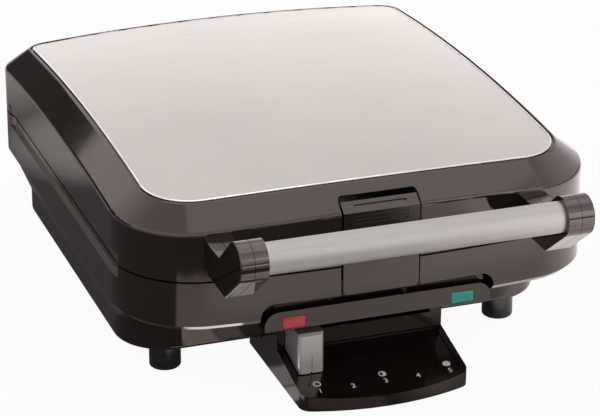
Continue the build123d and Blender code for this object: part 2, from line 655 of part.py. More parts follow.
def cover_plate():
    """Thin crowned steel plate that lies in its bed on top of the lid."""
    sheet = raised(body_plan(BEVEL_RUN + PLATE_BED_MARGIN + PLATE_GROOVE), (SEAM_Z, CROWN_Z + 5))
    plate = (sheet & dome()) - dome(PLATE_THICKNESS)
    return fillet(plate.faces().sort_by(Axis.Z)[-1].edges(), PLATE_EDGE)


def grid_pins():
    """Drafted pins of four waffle quarters, in rows and columns on the grid's floor."""
    quarter = (GRID_CAVITY - DIVIDER_WIDTH) / 2
    pitch = quarter / PINS_PER_SIDE
    floor_z = GRID_FOOT_Z + GRID_FLOOR
    first = -(PINS_PER_SIDE - 1) / 2 * pitch
    centres = [side * (quarter + DIVIDER_WIDTH) / 2 + first + row * pitch
               for side in (-1, 1) for row in range(PINS_PER_SIDE)]
    pin = extrude(Rectangle(PIN_BASE, PIN_BASE), PIN_HEIGHT + 0.5, taper=PIN_TAPER)
    return [Pos(x, GRID_MID_Y + y, floor_z - 0.5) * pin for x in centres for y in centres]


def lower_grid():
    """Cast cooking grid: flange, wall, floor with pins, and a cross of dividers between the four waffles."""
    outside = GRID_CAVITY + 2 * GRID_WALL
    body = raised(square(GRID_SIZE, GRID_CORNER_RADIUS), (BASE_TOP_Z - GRID_FLANGE, BASE_TOP_Z))
    body += raised(square(outside, GRID_CORNER_RADIUS - 4), (GRID_FOOT_Z, BASE_TOP_Z - 0.5))
    body -= raised(square(GRID_CAVITY, GRID_CORNER_RADIUS - 6), (GRID_FOOT_Z + GRID_FLOOR, BASE_TOP_Z + 1))
    ridge_z = (GRID_FOOT_Z + GRID_FLOOR - 0.5, BASE_TOP_Z - DIVIDER_BELOW_SEAM)
    reach = GRID_CAVITY / 2 + 1
    body += block((-DIVIDER_WIDTH / 2, DIVIDER_WIDTH / 2), (GRID_MID_Y - reach, GRID_MID_Y + reach), ridge_z)
    body += block((-reach, reach), (GRID_MID_Y - DIVIDER_WIDTH / 2, GRID_MID_Y + DIVIDER_WIDTH / 2), ridge_z)
    body = body + grid_pins()
    for x, y in GRID_SCREW_POINTS:
        body -= rod_z(x, y, (LEDGE_TOP_Z - 1, BASE_TOP_Z - 1), SCREW_RADIUS + SCREW_FIT)
    return body


def grid_screws():
    """Screws up through pan and ledge into the grid's flange."""
    head_z = LEDGE_FOOT_Z - PAN_THICKNESS - SCREW_HEAD_HEIGHT
    length = PAN_THICKNESS + DECK_THICKNESS + GRID_FLANGE - 1.4
    return [screw(head_z, length, x, y) for x, y in GRID_SCREW_POINTS]


def element():
    """Bent tubular heater below the grid, whose straight ends pass through the pan's front wall."""
    low = GRID_MID_Y - ELEMENT_SPREAD
    high = GRID_MID_Y + ELEMENT_SPREAD
    exit_y = PAN_FRONT_Y - ELEMENT_LEAD
    points = [(-ELEMENT_LEAD_X, exit_y), (-ELEMENT_LEAD_X, low), (-ELEMENT_SPREAD, low),
              (-ELEMENT_SPREAD, high), (ELEMENT_SPREAD, high), (ELEMENT_SPREAD, low),
              (ELEMENT_LEAD_X, low), (ELEMENT_LEAD_X, exit_y)]
    line = FilletPolyline(*[(x, y, ELEMENT_Z) for x, y in points], radius=ELEMENT_BEND)
    body = sweep(Plane(line @ 0, z_dir=line % 0) * Circle(ELEMENT_RADIUS), line)
    for side in (-1, 1):
        x = side * ELEMENT_LEAD_X
        body += rod_y(x, (exit_y - 7, exit_y + 2), ELEMENT_Z, TERMINAL_RADIUS)
    return body


def element_bushes():
    """Two ceramic bushes that hold the heater's ends in the pan's front wall."""
    bushes = []
    for side in (-1, 1):
        x = side * ELEMENT_LEAD_X
        bush = rod_y(x, (PAN_FRONT_Y - BUSH_LENGTH, PAN_FRONT_Y + PAN_THICKNESS + BUSH_INNER_LIP), ELEMENT_Z,
                     BUSH_NECK_RADIUS)
        bush += rod_y(x, (PAN_FRONT_Y - BUSH_LENGTH, PAN_FRONT_Y - PAN_FACE_GAP), ELEMENT_Z, BUSH_RADIUS)
        bush -= rod_y(x, (PAN_FRONT_Y - 2 * BUSH_LENGTH, PAN_FRONT_Y + BUSH_LENGTH), ELEMENT_Z,
                      ELEMENT_RADIUS + SCREW_FIT)
        bushes.append(bush)
    return bushes


def reflector():
    """Sheet pan under the heater, hung by its flange below the deck's ledge."""
    outside = PAN_INSIDE + 2 * PAN_THICKNESS
    flange_plan = square(OPENING_SIZE + 2, PAN_CORNER_RADIUS + 4)
    flange = raised(flange_plan, (LEDGE_FOOT_Z - PAN_THICKNESS, LEDGE_FOOT_Z))
    body = flange + raised(square(outside, PAN_CORNER_RADIUS), (PAN_FOOT_Z, LEDGE_FOOT_Z - PAN_THICKNESS / 2))
    inside = square(PAN_INSIDE, PAN_CORNER_RADIUS - PAN_THICKNESS)
    body -= raised(inside, (PAN_FOOT_Z + PAN_THICKNESS, LEDGE_FOOT_Z + 1))
    for x, y in GRID_SCREW_POINTS:
        body -= rod_z(x, y, (LEDGE_FOOT_Z - 4, LEDGE_FOOT_Z + 1), SCREW_RADIUS + SCREW_FIT)
    for side in (-1, 1):
        body -= rod_y(side * ELEMENT_LEAD_X, (PAN_FRONT_Y - PAN_THICKNESS, PAN_FRONT_Y + 2 * PAN_THICKNESS),
                      ELEMENT_Z, BUSH_NECK_RADIUS + SCREW_FIT)
    return body


def flipped(shape):
    """The lid's twin of a piece of the base, turned over the seam."""
    if isinstance(shape, list):
        return [mirror(piece, MIRROR_SEAM) for piece in shape]
    return mirror(shape, MIRROR_SEAM)


def knuckle_leaf(x_spans, x, upward):
    """Hinge knuckles joined to a leaf that lies against the inside of the rear wall."""
    sign = 1 if upward else -1
    leaf_y = (REAR_Y - WALL - HINGE_LEAF, REAR_Y - WALL)
    near = SEAM_Z + sign * HINGE_LEAF_OFFSET
    far = near + sign * HINGE_LEAF_HEIGHT
    half = HINGE_HALF_WIDTH + HINGE_LEAF_WING
    body = block((x - half, x + half), leaf_y, sorted((near, far)))
    for low, high in x_spans:
        span = (x + low, x + high)
        body += rod_x(span, HINGE_Y, SEAM_Z, KNUCKLE_RADIUS)
        web = [(REAR_Y - WALL - HINGE_LEAF, near), (HINGE_Y - KNUCKLE_RADIUS + 0.4, SEAM_Z + sign * 1.5),
               (HINGE_Y + 1.5, SEAM_Z + sign * (KNUCKLE_RADIUS - 0.4)),
               (REAR_Y - WALL, SEAM_Z + sign * HINGE_WEB_REACH)]
        web_face = Plane.YZ * make_face(Polyline(*web, close=True))
        body += Pos(span[0], 0, 0) * extrude(web_face, span[1] - span[0])
    body -= rod_x((x - half - 1, x + half + 1), HINGE_Y, SEAM_Z, HINGE_PIN_RADIUS + RUNNING_FIT)
    for hole_x, hole_z in hinge_screw_places(upward):
        body -= rod_y(hole_x, (leaf_y[0] - 1, leaf_y[1] + 1), hole_z, SCREW_RADIUS + SCREW_FIT)
    return body


def hinge_bracket(x):
    """Base half of a hinge: two ears on a leaf."""
    inner = KNUCKLE_WIDTH / 2 + KNUCKLE_GAP
    outer = HINGE_HALF_WIDTH
    return knuckle_leaf([(-outer, -inner), (inner, outer)], x, upward=False)


def hinge_arm(x):
    """Lid half of a hinge: one broad knuckle on a leaf."""
    half = KNUCKLE_WIDTH / 2
    return knuckle_leaf([(-half, half)], x, upward=True)


def hinge_screw_places(upward):
    """X and height of the screws that hold the leaves of one half of both hinges."""
    sign = 1 if upward else -1
    z = SEAM_Z + sign * (HINGE_LEAF_OFFSET + HINGE_LEAF_HEIGHT / 2)
    offset = HINGE_HALF_WIDTH + HINGE_SCREW_OFFSET
    return [(side * HINGE_X + end * offset, z) for side in (-1, 1) for end in (-1, 1)]


def hinge_screws(upward):
    """Screws from inside through the hinge leaves into the rear wall."""
    leaf_face = REAR_Y - WALL - HINGE_LEAF
    screws = []
    for x, z in hinge_screw_places(upward):
        piece = rod_y(x, (leaf_face - SCREW_HEAD_HEIGHT, leaf_face), z, SCREW_HEAD_RADIUS)
        piece += rod_y(x, (leaf_face, REAR_Y - HINGE_SCREW_TIP), z, SCREW_RADIUS)
        screws.append(piece)
    return screws


def hinge_pin(x):
    """Steel pin with a head at its outer end and a peened inner end."""
    outer = HINGE_HALF_WIDTH
    side = 1 if x > 0 else -1
    tip = outer + HINGE_PIN_HEAD
    shank = rod_x((x - tip, x + tip), HINGE_Y, SEAM_Z, HINGE_PIN_RADIUS)
    head_span = sorted((x + side * (outer + 0.1), x + side * (tip + 0.1)))
    return shank + rod_x(head_span, HINGE_Y, SEAM_Z, HINGE_PIN_RADIUS + HINGE_PIN_RIM)


def handle_profile(x_range):
    """Side view of a handle arm: a bar off the wall that turns up into a round end about the tube."""
    centre = (HANDLE_AHEAD, HANDLE_Z)

    def tangent(point, turn):
        """Where a line from this point touches the round end, on one side of it."""
        dx = centre[0] - point[0]
        dz = centre[1] - point[1]
        distance = hypot(dx, dz)
        angle = atan2(dz, dx) + turn * asin(HANDLE_END_RADIUS / distance)
        reach = sqrt(distance ** 2 - HANDLE_END_RADIUS ** 2)
        return (point[0] + reach * cos(angle), point[1] + reach * sin(angle))

    low_bend = (ARM_BOTTOM_REACH, ARM_BOTTOM_Z)
    high_bend = (ARM_TOP_REACH, ARM_TOP_Z)
    points = [(ARM_BACK_AHEAD, ARM_BOTTOM_Z), low_bend, tangent(low_bend, -1), centre,
              tangent(high_bend, 1), high_bend, (ARM_BACK_AHEAD, ARM_TOP_Z)]
    body = side_profile(points, x_range)
    return body + rod_x(x_range, ahead(HANDLE_AHEAD), HANDLE_Z, HANDLE_END_RADIUS)


def handle_half(side, x_range):
    """One side-by-side half of a handle arm, cut to the bowed wall behind it."""
    span = sorted((side * x_range[0], side * x_range[1]))
    body = handle_profile(span)
    body -= raised(body_plan(-0.05), (ARM_BOTTOM_Z - 5, HANDLE_Z))
    return body


def handle_arm(side):
    """Outer half of a handle arm, with a rounded outline."""
    body = handle_half(side, (ARM_SPLIT_X + HANDLE_SPLIT_GAP / 2, HANDLE_OUTER_X))
    outer = body.faces().sort_by(Axis.X)[-1 if side > 0 else 0]
    return fillet(outer.edges(), ARM_EDGE)


def handle_cover(side):
    """Inner half of a handle arm, with the socket that the tube ends in and the holes of its screws."""
    body = handle_half(side, (HANDLE_INNER_X, ARM_SPLIT_X - HANDLE_SPLIT_GAP / 2))
    mouth = sorted((side * (HANDLE_INNER_X - 1), side * (HANDLE_INNER_X + HANDLE_SOCKET_DEPTH)))
    body -= rod_x(mouth, ahead(HANDLE_AHEAD), HANDLE_Z, HANDLE_TUBE_RADIUS + HANDLE_SOCKET_FIT)
    for z in ARM_SCREW_Z:
        body -= rod_y(side * ARM_SCREW_X, (ahead(16), ahead(-14)), z, SCREW_RADIUS + SCREW_FIT)
    return body


def handle_screws():
    """Screws through the lid's front wall into the handle arms."""
    screws = []
    bow_drop = FRONT_BOW_RADIUS - sqrt(FRONT_BOW_RADIUS ** 2 - ARM_SCREW_X ** 2)
    back = -bow_drop - WALL - 0.35
    for side in (-1, 1):
        for z in ARM_SCREW_Z:
            x = side * ARM_SCREW_X
            piece = rod_y(x, (ahead(back), ahead(back - SCREW_HEAD_HEIGHT)), z, SCREW_HEAD_RADIUS)
            piece += rod_y(x, (ahead(14), ahead(back)), z, SCREW_RADIUS)
            screws.append(piece)
    return screws


def handle_tube():
    """Brushed steel tube between the two arms."""
    reach = HANDLE_INNER_X + HANDLE_SOCKET_DEPTH - 0.3
    y = ahead(HANDLE_AHEAD)
    bore_radius = HANDLE_TUBE_RADIUS - HANDLE_TUBE_WALL
    tube = rod_x((-reach, reach), y, HANDLE_Z, HANDLE_TUBE_RADIUS)
    return tube - rod_x((-reach - 1, reach + 1), y, HANDLE_Z, bore_radius)


def latch_lever():
    """Rocking latch: ribbed thumb pad on the bevel, flush face, two barrels on its pin and a hook below."""
    crease_z = on_crown(0, FRONT_Y) - BEVEL_DROP
    tip = (-BEVEL_RUN * LATCH_BEVEL_SHARE, crease_z + BEVEL_DROP * LATCH_BEVEL_SHARE)
    span = (-LATCH_HALF_WIDTH, LATCH_HALF_WIDTH)
    front = LATCH_PROUD
    back = front - LATCH_THICKNESS
    points = [(front, LATCH_FOOT_Z), (front, crease_z), (tip[0], tip[1] + 0.5), (tip[0] - 1.5, tip[1] - 2.6),
              (back, crease_z - 2.4), (back, LATCH_FOOT_Z)]
    body = side_profile(points, span)
    upright = [edge for edge in body.edges().filter_by(Axis.Y) if edge.center().Z < LATCH_FOOT_Z + 1]
    body = fillet(upright, LATCH_CORNER)
    pivot_y = ahead(LATCH_PIVOT_AHEAD)
    inner = SPRING_HALF_GAP + 0.6
    outer = LATCH_HALF_WIDTH - LUG_THICKNESS - LUG_GAP
    for side in (-1, 1):
        barrel = sorted((side * inner, side * outer))
        body += rod_x(barrel, pivot_y, LATCH_PIVOT_Z, LATCH_BARREL_RADIUS)
        body += block(barrel, (ahead(back + 0.5), pivot_y), (LATCH_PIVOT_Z - 2.2, LATCH_PIVOT_Z + 2.2))
    root = back + 0.5
    nose = [(root, LATCH_HOOK_TOP_Z), (LATCH_HOOK_AHEAD, LATCH_HOOK_TOP_Z),
            (LATCH_HOOK_AHEAD, LATCH_HOOK_Z - 0.6), (root, LATCH_HOOK_Z - LATCH_HOOK_HEIGHT)]
    body += side_profile(nose, (-KEEPER_HALF_WIDTH + 1, KEEPER_HALF_WIDTH - 1))
    body -= rod_x((span[0] - 1, span[1] + 1), pivot_y, LATCH_PIVOT_Z, LATCH_PIN_RADIUS + RUNNING_FIT)
    slope = degrees(atan2(BEVEL_DROP, BEVEL_RUN))
    pad = Pos(0, ahead(tip[0] / 2), (crease_z + tip[1]) / 2 + 0.5) * Rot(slope, 0, 0)
    body -= pad * extrude(SlotOverall(LATCH_SLOT_LENGTH, LATCH_SLOT_WIDTH), LATCH_SLOT_DEPTH, both=True)
    for rib in range(LATCH_RIBS):
        z = crease_z - 2.2 - rib * LATCH_RIB_PITCH
        body -= block((-LATCH_SLOT_LENGTH / 2, LATCH_SLOT_LENGTH / 2),
                      (ahead(front + 1), ahead(front - LATCH_RIB_DEPTH)),
                      (z - LATCH_RIB_WIDTH / 2, z + LATCH_RIB_WIDTH / 2))
    return body


def latch_pin():
    """Steel pin through both lugs and barrels."""
    span = (-LATCH_HALF_WIDTH, LATCH_HALF_WIDTH)
    return rod_x(span, ahead(LATCH_PIVOT_AHEAD), LATCH_PIVOT_Z, LATCH_PIN_RADIUS)


def latch_spring():
    """Small torsion coil round the pin between the barrels."""
    pitch = 2 * (SPRING_HALF_GAP - SPRING_WIRE_RADIUS) / SPRING_TURNS
    height = pitch * SPRING_TURNS
    coil = Helix(pitch=pitch, height=height, radius=SPRING_COIL_RADIUS)
    section = Plane(coil @ 0, z_dir=coil % 0) * RegularPolygon(SPRING_WIRE_RADIUS, 5)
    wire = sweep(section, coil, is_frenet=True)
    place = Pos(-height / 2, ahead(LATCH_PIVOT_AHEAD), LATCH_PIVOT_Z) * Rot(0, 90, 0)
    return place * wire


def latch_keeper():
    """Steel lip under the base's deck that the hook goes under."""
    back = LATCH_HOOK_AHEAD - KEEPER_CLEARANCE
    foot_z = LATCH_HOOK_TOP_Z + 0.5
    lip = block((-KEEPER_HALF_WIDTH, KEEPER_HALF_WIDTH), (ahead(back), ahead(back - KEEPER_THICKNESS)),
                (foot_z, BASE_TOP_Z - DECK_THICKNESS))
    leaf = block((-KEEPER_HALF_WIDTH, KEEPER_HALF_WIDTH), (ahead(back), ahead(back - 14)),
                 (BASE_TOP_Z - DECK_THICKNESS - 1.5, BASE_TOP_Z - DECK_THICKNESS))
    return lip + leaf


def tongue_plan(inset=0.0):
    """The control tongue's outline in plan: straight sides, bowed front, round corners."""
    half = TONGUE_HALF_WIDTH - inset
    bow = (half ** 2 + TONGUE_BULGE ** 2) / (2 * TONGUE_BULGE)
    corner_y = ahead(TONGUE_CORNER_AHEAD - inset)
    crown_y = corner_y - TONGUE_BULGE
    back_y = ahead(TONGUE_BACK_AHEAD)
    outline = Polyline((half, corner_y), (half, back_y), (-half, back_y), (-half, corner_y))
    arc = ThreePointArc((-half, corner_y), (0, crown_y), (half, corner_y))
    sheet = make_face([outline, arc])
    corners = [vertex for vertex in sheet.vertices() if vertex.Y < corner_y + 0.01]
    return fillet(corners, TONGUE_CORNER_RADIUS - inset)


def tongue_top(distance):
    """Height of the tongue's sloping top at a distance ahead of the front wall."""
    share = (distance - RISER_AHEAD) / (TONGUE_CORNER_AHEAD - RISER_AHEAD)
    return TONGUE_REAR_Z + share * (TONGUE_FRONT_Z - TONGUE_REAR_Z)


def console_housing():
    """Control moulding: hollow tongue with heel, riser with the slide's slot, ledge and windowed strip."""
    far = TONGUE_CORNER_AHEAD + TONGUE_BULGE + 2
    back = TONGUE_BACK_AHEAD - 5
    span = (-STRIP_HALF_WIDTH, STRIP_HALF_WIDTH)

    def wedge(shrink, foot_z, top_z):
        """Side view of the tongue and riser, thinned by the wall."""
        riser = RISER_AHEAD - shrink
        points = [(back, foot_z), (far, foot_z), (far, tongue_top(far) - shrink),
                  (riser, TONGUE_REAR_Z - shrink), (riser, top_z), (back, top_z)]
        return side_profile(points, span)

    tall = (0.0, STRIP_TOP_Z)
    body = raised(tongue_plan(), tall) & wedge(0.0, TONGUE_FOOT_Z, STRIP_FOOT_Z + 1)
    near = RISER_AHEAD + TONGUE_PANEL_LIP
    sink_points = [(near, tongue_top(near) - TONGUE_PANEL_SINK), (far, tongue_top(far) - TONGUE_PANEL_SINK),
                   (far, TONGUE_REAR_Z + 5), (near, TONGUE_REAR_Z + 5)]
    body -= raised(tongue_plan(TONGUE_PANEL_INSET), tall) & side_profile(sink_points, span)
    body -= raised(tongue_plan(PANEL_WALL), tall) & wedge(PANEL_WALL, TONGUE_FOOT_Z - 1, STRIP_TOP_Z)
    outside = (-TONGUE_HALF_WIDTH, TONGUE_HALF_WIDTH)
    inside = (-TONGUE_HALF_WIDTH + PANEL_WALL, TONGUE_HALF_WIDTH - PANEL_WALL)
    body -= block(inside, (ahead(TONGUE_BACK_AHEAD + PANEL_WALL), ahead(TONGUE_BACK_AHEAD - 1)), tall)
    heel_front = TONGUE_BACK_AHEAD + PANEL_WALL
    body += block(outside, (ahead(heel_front), ahead(HEEL_BACK_AHEAD)), (TONGUE_FOOT_Z, HEEL_TOP_Z))
    body -= block(inside, (ahead(heel_front + 1), ahead(HEEL_BACK_AHEAD + PANEL_WALL)),
                  (TONGUE_FOOT_Z - 1, HEEL_TOP_Z - PANEL_WALL))
    ledge_z = (STRIP_FOOT_Z, STRIP_FOOT_Z + LEDGE_THICKNESS)
    body += block(outside, (ahead(STRIP_AHEAD), ahead(RISER_AHEAD - PANEL_WALL)), ledge_z)
    body += block(span, (ahead(STRIP_AHEAD), ahead(STRIP_WING_AHEAD)), ledge_z)
    body += block((-STRIP_HALF_WIDTH + 1, STRIP_HALF_WIDTH - 1),
                  (ahead(STRIP_AHEAD - STRIP_DEPTH + PANEL_WALL), ahead(STRIP_AHEAD - STRIP_DEPTH)),
                  (STRIP_TOP_Z - PANEL_WALL, STRIP_BACKING_Z))
    middle = (CARRIAGE_FRONT_AHEAD + CARRIAGE_BACK_AHEAD) / 2
    for side in (-1, 1):
        body -= block(sorted((side * (TONGUE_HALF_WIDTH + 1), side * (TONGUE_HALF_WIDTH - PANEL_WALL - 1))),
                      (ahead(CARRIAGE_BACK_AHEAD + 0.6), ahead(RACK_PITCH_AHEAD - 2 * GEAR_MODULE)),
                      (GEAR_FOOT_Z - 1, STRIP_FOOT_Z + 2))
        lug = sorted((side * (TONGUE_HALF_WIDTH - RAIL_LUG_THICKNESS), side * TONGUE_HALF_WIDTH))
        body += block(lug, (ahead(middle + RAIL_LUG_FRONT), ahead(middle - RAIL_LUG_BACK)),
                      (STRIP_FOOT_Z - RAIL_LUG_FOOT, RAIL_Z + RAIL_LUG_HEAD))
        body -= rod_x((lug[0] - 1, lug[1] + 1), ahead(middle), RAIL_Z, RAIL_RADIUS + SCREW_FIT)
    strip_height = STRIP_TOP_Z - STRIP_FOOT_Z
    strip_mid_z = (STRIP_FOOT_Z + STRIP_TOP_Z) / 2
    strip = Pos(0, strip_mid_z) * Rectangle(2 * STRIP_HALF_WIDTH, strip_height)
    strip = fillet(strip.vertices().sort_by(Axis.Y)[-2:], STRIP_CORNER)
    rim = Pos(0, ahead(STRIP_AHEAD), 0) * (Plane.XZ * extrude(strip, -STRIP_DEPTH))
    hollow_width = 2 * (STRIP_HALF_WIDTH - PANEL_WALL)
    hollow = Pos(0, strip_mid_z - PANEL_WALL) * Rectangle(hollow_width, strip_height)
    hollow = fillet(hollow.vertices().sort_by(Axis.Y)[-2:], STRIP_CORNER - PANEL_WALL)
    rim -= Pos(0, ahead(STRIP_AHEAD - PANEL_WALL), 0) * (Plane.XZ * extrude(hollow, -STRIP_DEPTH))
    body += rim
    for x, y in CONSOLE_BOSS_POINTS:
        boss = rod_z(x, y, (CONSOLE_COVER_TOP_Z, TONGUE_REAR_Z), BOSS_RADIUS)
        body += boss & wedge(TONGUE_PANEL_SINK + 0.4, TONGUE_FOOT_Z, STRIP_FOOT_Z)
        hole_z = (TONGUE_FOOT_Z, CONSOLE_COVER_TOP_Z + CONSOLE_SCREW_LENGTH)
        body -= rod_z(x, y, hole_z, SCREW_RADIUS + SCREW_FIT)
    reach = KNOB_TRAVEL / 2 + STEM_WIDTH / 2 + STEM_CLEARANCE + 0.6
    body -= block((-reach, reach), (ahead(RISER_AHEAD + 1), ahead(RISER_AHEAD - PANEL_WALL - 0.5)),
                  (SLIDE_SLOT_FOOT_Z, SLIDE_SLOT_FOOT_Z + SLIDE_SLOT_HEIGHT))
    for side in (-1, 1):
        window = block((side * LENS_X - LENS_WIDTH / 2 - LENS_FIT, side * LENS_X + LENS_WIDTH / 2 + LENS_FIT),
                       (ahead(STRIP_AHEAD + 1), ahead(STRIP_AHEAD - PANEL_WALL - 0.2)),
                       (LENS_Z - LENS_HEIGHT / 2 - LENS_FIT, LENS_Z + LENS_HEIGHT / 2 + LENS_FIT))
        body -= window
    return body


def console_cover():
    """Plate that closes the tongue's underside, set up into its walls."""
    inset = PANEL_WALL + CONSOLE_COVER_FIT
    half = TONGUE_HALF_WIDTH - inset
    z_span = (CONSOLE_COVER_FOOT_Z, CONSOLE_COVER_TOP_Z)
    body = raised(tongue_plan(inset), z_span)
    body += block((-half, half), (ahead(TONGUE_BACK_AHEAD + 1), ahead(HEEL_BACK_AHEAD + inset)), z_span)
    for x, y in CONSOLE_BOSS_POINTS:
        body -= rod_z(x, y, (z_span[0] - 1, z_span[1] + 1), SCREW_RADIUS + SCREW_FIT)
    return body


def console_screws():
    """Screws that hold the console's cover on its bosses."""
    head_z = CONSOLE_COVER_FOOT_Z - SCREW_HEAD_HEIGHT
    length = CONSOLE_COVER_TOP_Z - CONSOLE_COVER_FOOT_Z + CONSOLE_SCREW_LENGTH - 1
    return [screw(head_z, length, x, y) for x, y in CONSOLE_BOSS_POINTS]


def lens(side):
    """Indicator lens with a flange behind the strip."""
    front = STRIP_AHEAD + LENS_PROUD
    back = STRIP_AHEAD - PANEL_WALL
    x_span = (side * LENS_X - LENS_WIDTH / 2, side * LENS_X + LENS_WIDTH / 2)
    z_span = (LENS_Z - LENS_HEIGHT / 2, LENS_Z + LENS_HEIGHT / 2)
    body = block(x_span, (ahead(front), ahead(back)), z_span)
    flange_z = (STRIP_FOOT_Z + LEDGE_THICKNESS, z_span[1] + LENS_FLANGE)
    body += block((x_span[0] - LENS_FLANGE, x_span[1] + LENS_FLANGE),
                  (ahead(back), ahead(back - LENS_FLANGE_THICKNESS)), flange_z)
    return body


def lamps():
    """A small neon lamp lying behind each lens."""
    front = STRIP_AHEAD - PANEL_WALL - LENS_FLANGE_THICKNESS - LAMP_GAP
    z = STRIP_FOOT_Z + LEDGE_THICKNESS + LAMP_RADIUS + 0.1
    y_span = (ahead(front), ahead(front - LAMP_LENGTH))
    return [rod_y(side * LENS_X, y_span, z, LAMP_RADIUS) for side in (-1, 1)]


def browning_knob():
    """Slide knob: a tapered block that hangs in front of the riser, with a pointer groove at its foot."""
    back = RISER_AHEAD + KNOB_GAP
    front = KNOB_FRONT_AHEAD
    sink = TONGUE_PANEL_SINK
    points = [(back, tongue_top(back) + KNOB_GAP), (front, tongue_top(front) - sink + KNOB_GAP),
              (front, KNOB_TOP_Z - KNOB_TOP_EDGE), (front - KNOB_TOP_EDGE, KNOB_TOP_Z), (back, KNOB_TOP_Z)]
    half = KNOB_WIDTH / 2
    body = side_profile(points, (KNOB_X - half, KNOB_X + half))
    upright = [edge for edge in body.edges().filter_by(Axis.Z) if edge.center().Y < ahead(front) + 0.1]
    body = fillet(upright, KNOB_EDGE)
    body -= block((KNOB_X - KNOB_GROOVE_WIDTH / 2, KNOB_X + KNOB_GROOVE_WIDTH / 2),
                  (ahead(front + 1), ahead(front - KNOB_GROOVE_DEPTH)), (0, KNOB_GROOVE_TOP_Z))
    return body - stem(0.1)


def stem(grow):
    """The tab that joins the knob to its carriage, made larger by a clearance to cut its socket."""
    half = STEM_WIDTH / 2 + grow
    low = SLIDE_SLOT_FOOT_Z + STEM_CLEARANCE - grow
    high = SLIDE_SLOT_FOOT_Z + SLIDE_SLOT_HEIGHT - STEM_CLEARANCE + grow
    y_span = (ahead(RISER_AHEAD + KNOB_GAP + STEM_SOCKET + grow), ahead(CARRIAGE_FRONT_AHEAD - 1))
    return block((KNOB_X - half, KNOB_X + half), y_span, (low, high))


def slide_carriage():
    """Carriage behind the riser: stem, plate with the rail's bearing and a rack that faces the rear."""
    half = CARRIAGE_WIDTH / 2
    y_span = (ahead(CARRIAGE_FRONT_AHEAD), ahead(CARRIAGE_BACK_AHEAD))
    body = block((KNOB_X - half, KNOB_X + half), y_span, (SLIDE_SLOT_FOOT_Z - 1, RAIL_Z + 5))
    body += stem(0.0)
    middle = (CARRIAGE_FRONT_AHEAD + CARRIAGE_BACK_AHEAD) / 2
    body -= rod_x((KNOB_X - half - 1, KNOB_X + half + 1), ahead(middle), RAIL_Z, RAIL_RADIUS + RUNNING_FIT)
    pitch = pi * GEAR_MODULE
    root = RACK_PITCH_AHEAD + GEAR_DEDENDUM * GEAR_MODULE
    tip = RACK_PITCH_AHEAD - GEAR_ADDENDUM * GEAR_MODULE
    slope = tan(radians(PRESSURE_ANGLE))
    half_tooth = pitch / 4 - RACK_BACKLASH / 2
    half_root = half_tooth + (root - RACK_PITCH_AHEAD) * slope
    half_tip = half_tooth - (RACK_PITCH_AHEAD - tip) * slope
    first = -ceil(KNOB_TRAVEL / pitch) - RACK_EXTRA_TEETH
    last = RACK_EXTRA_TEETH
    outline = [(first * pitch, ahead(root) - RACK_BACKING), (first * pitch, ahead(root))]
    for tooth in range(first, last):
        centre = (tooth + 0.5) * pitch
        outline += [(centre - half_root, ahead(root)), (centre - half_tip, ahead(tip)),
                    (centre + half_tip, ahead(tip)), (centre + half_root, ahead(root))]
    outline += [(last * pitch, ahead(root)), (last * pitch, ahead(root) - RACK_BACKING)]
    rack = raised(make_face(Polyline(*outline, close=True)), (GEAR_FOOT_Z, GEAR_FOOT_Z + GEAR_WIDTH))
    return body + rack


def pinion():
    """Gear on the thermostat's shaft: involute flanks from the base circle up, worked out point by point."""
    base_radius = PITCH_RADIUS * cos(radians(PRESSURE_ANGLE))
    tip_radius = PITCH_RADIUS + GEAR_ADDENDUM * GEAR_MODULE
    root_radius = PITCH_RADIUS - GEAR_DEDENDUM * GEAR_MODULE

    def roll(radius):
        """Polar angle of the involute at a radius, from where it leaves the base circle."""
        angle = acos(base_radius / radius)
        return tan(angle) - angle

    half_pitch_angle = pi / (2 * PINION_TEETH) - RACK_BACKLASH / (4 * PITCH_RADIUS)
    steps = 4
    start = base_radius + 0.02
    radii = [start + step * (tip_radius - start) / steps for step in range(steps + 1)]
    half_angles = [half_pitch_angle + roll(PITCH_RADIUS) - roll(radius) for radius in radii]
    outline = []
    for tooth in range(PINION_TEETH):
        middle = 2 * pi * tooth / PINION_TEETH + pi / 2
        flank = [(root_radius, -half_angles[0])]
        flank += [(radius, -angle) for radius, angle in zip(radii, half_angles)]
        flank += [(radius, angle) for radius, angle in zip(reversed(radii), reversed(half_angles))]
        flank += [(root_radius, half_angles[0])]
        outline += [(radius * cos(middle - angle), radius * sin(middle - angle))
                    for radius, angle in reversed(flank)]
    sheet = make_face(Polyline(*outline, close=True))
    body = raised(sheet, (GEAR_FOOT_Z, GEAR_FOOT_Z + GEAR_WIDTH))
    hub_z = (GEAR_FOOT_Z - SHAFT_BELOW_GEAR, GEAR_FOOT_Z + GEAR_WIDTH + 1)
    hub = rod_z(0, 0, hub_z, PINION_SHAFT_RADIUS + PINION_HUB_WALL)
    body = body + hub - rod_z(0, 0, (0, SEAM_Z), PINION_SHAFT_RADIUS + SHAFT_PRESS_GAP)
    return Pos(0, ahead(PINION_AHEAD), 0) * body


def thermostat_shaft():
    """Shaft that carries the pinion and turns in the thermostat."""
    z_span = (GEAR_FOOT_Z - SHAFT_BELOW_GEAR, THERMOSTAT_FOOT_Z + SHAFT_DEPTH)
    return rod_z(0, ahead(PINION_AHEAD), z_span, PINION_SHAFT_RADIUS)


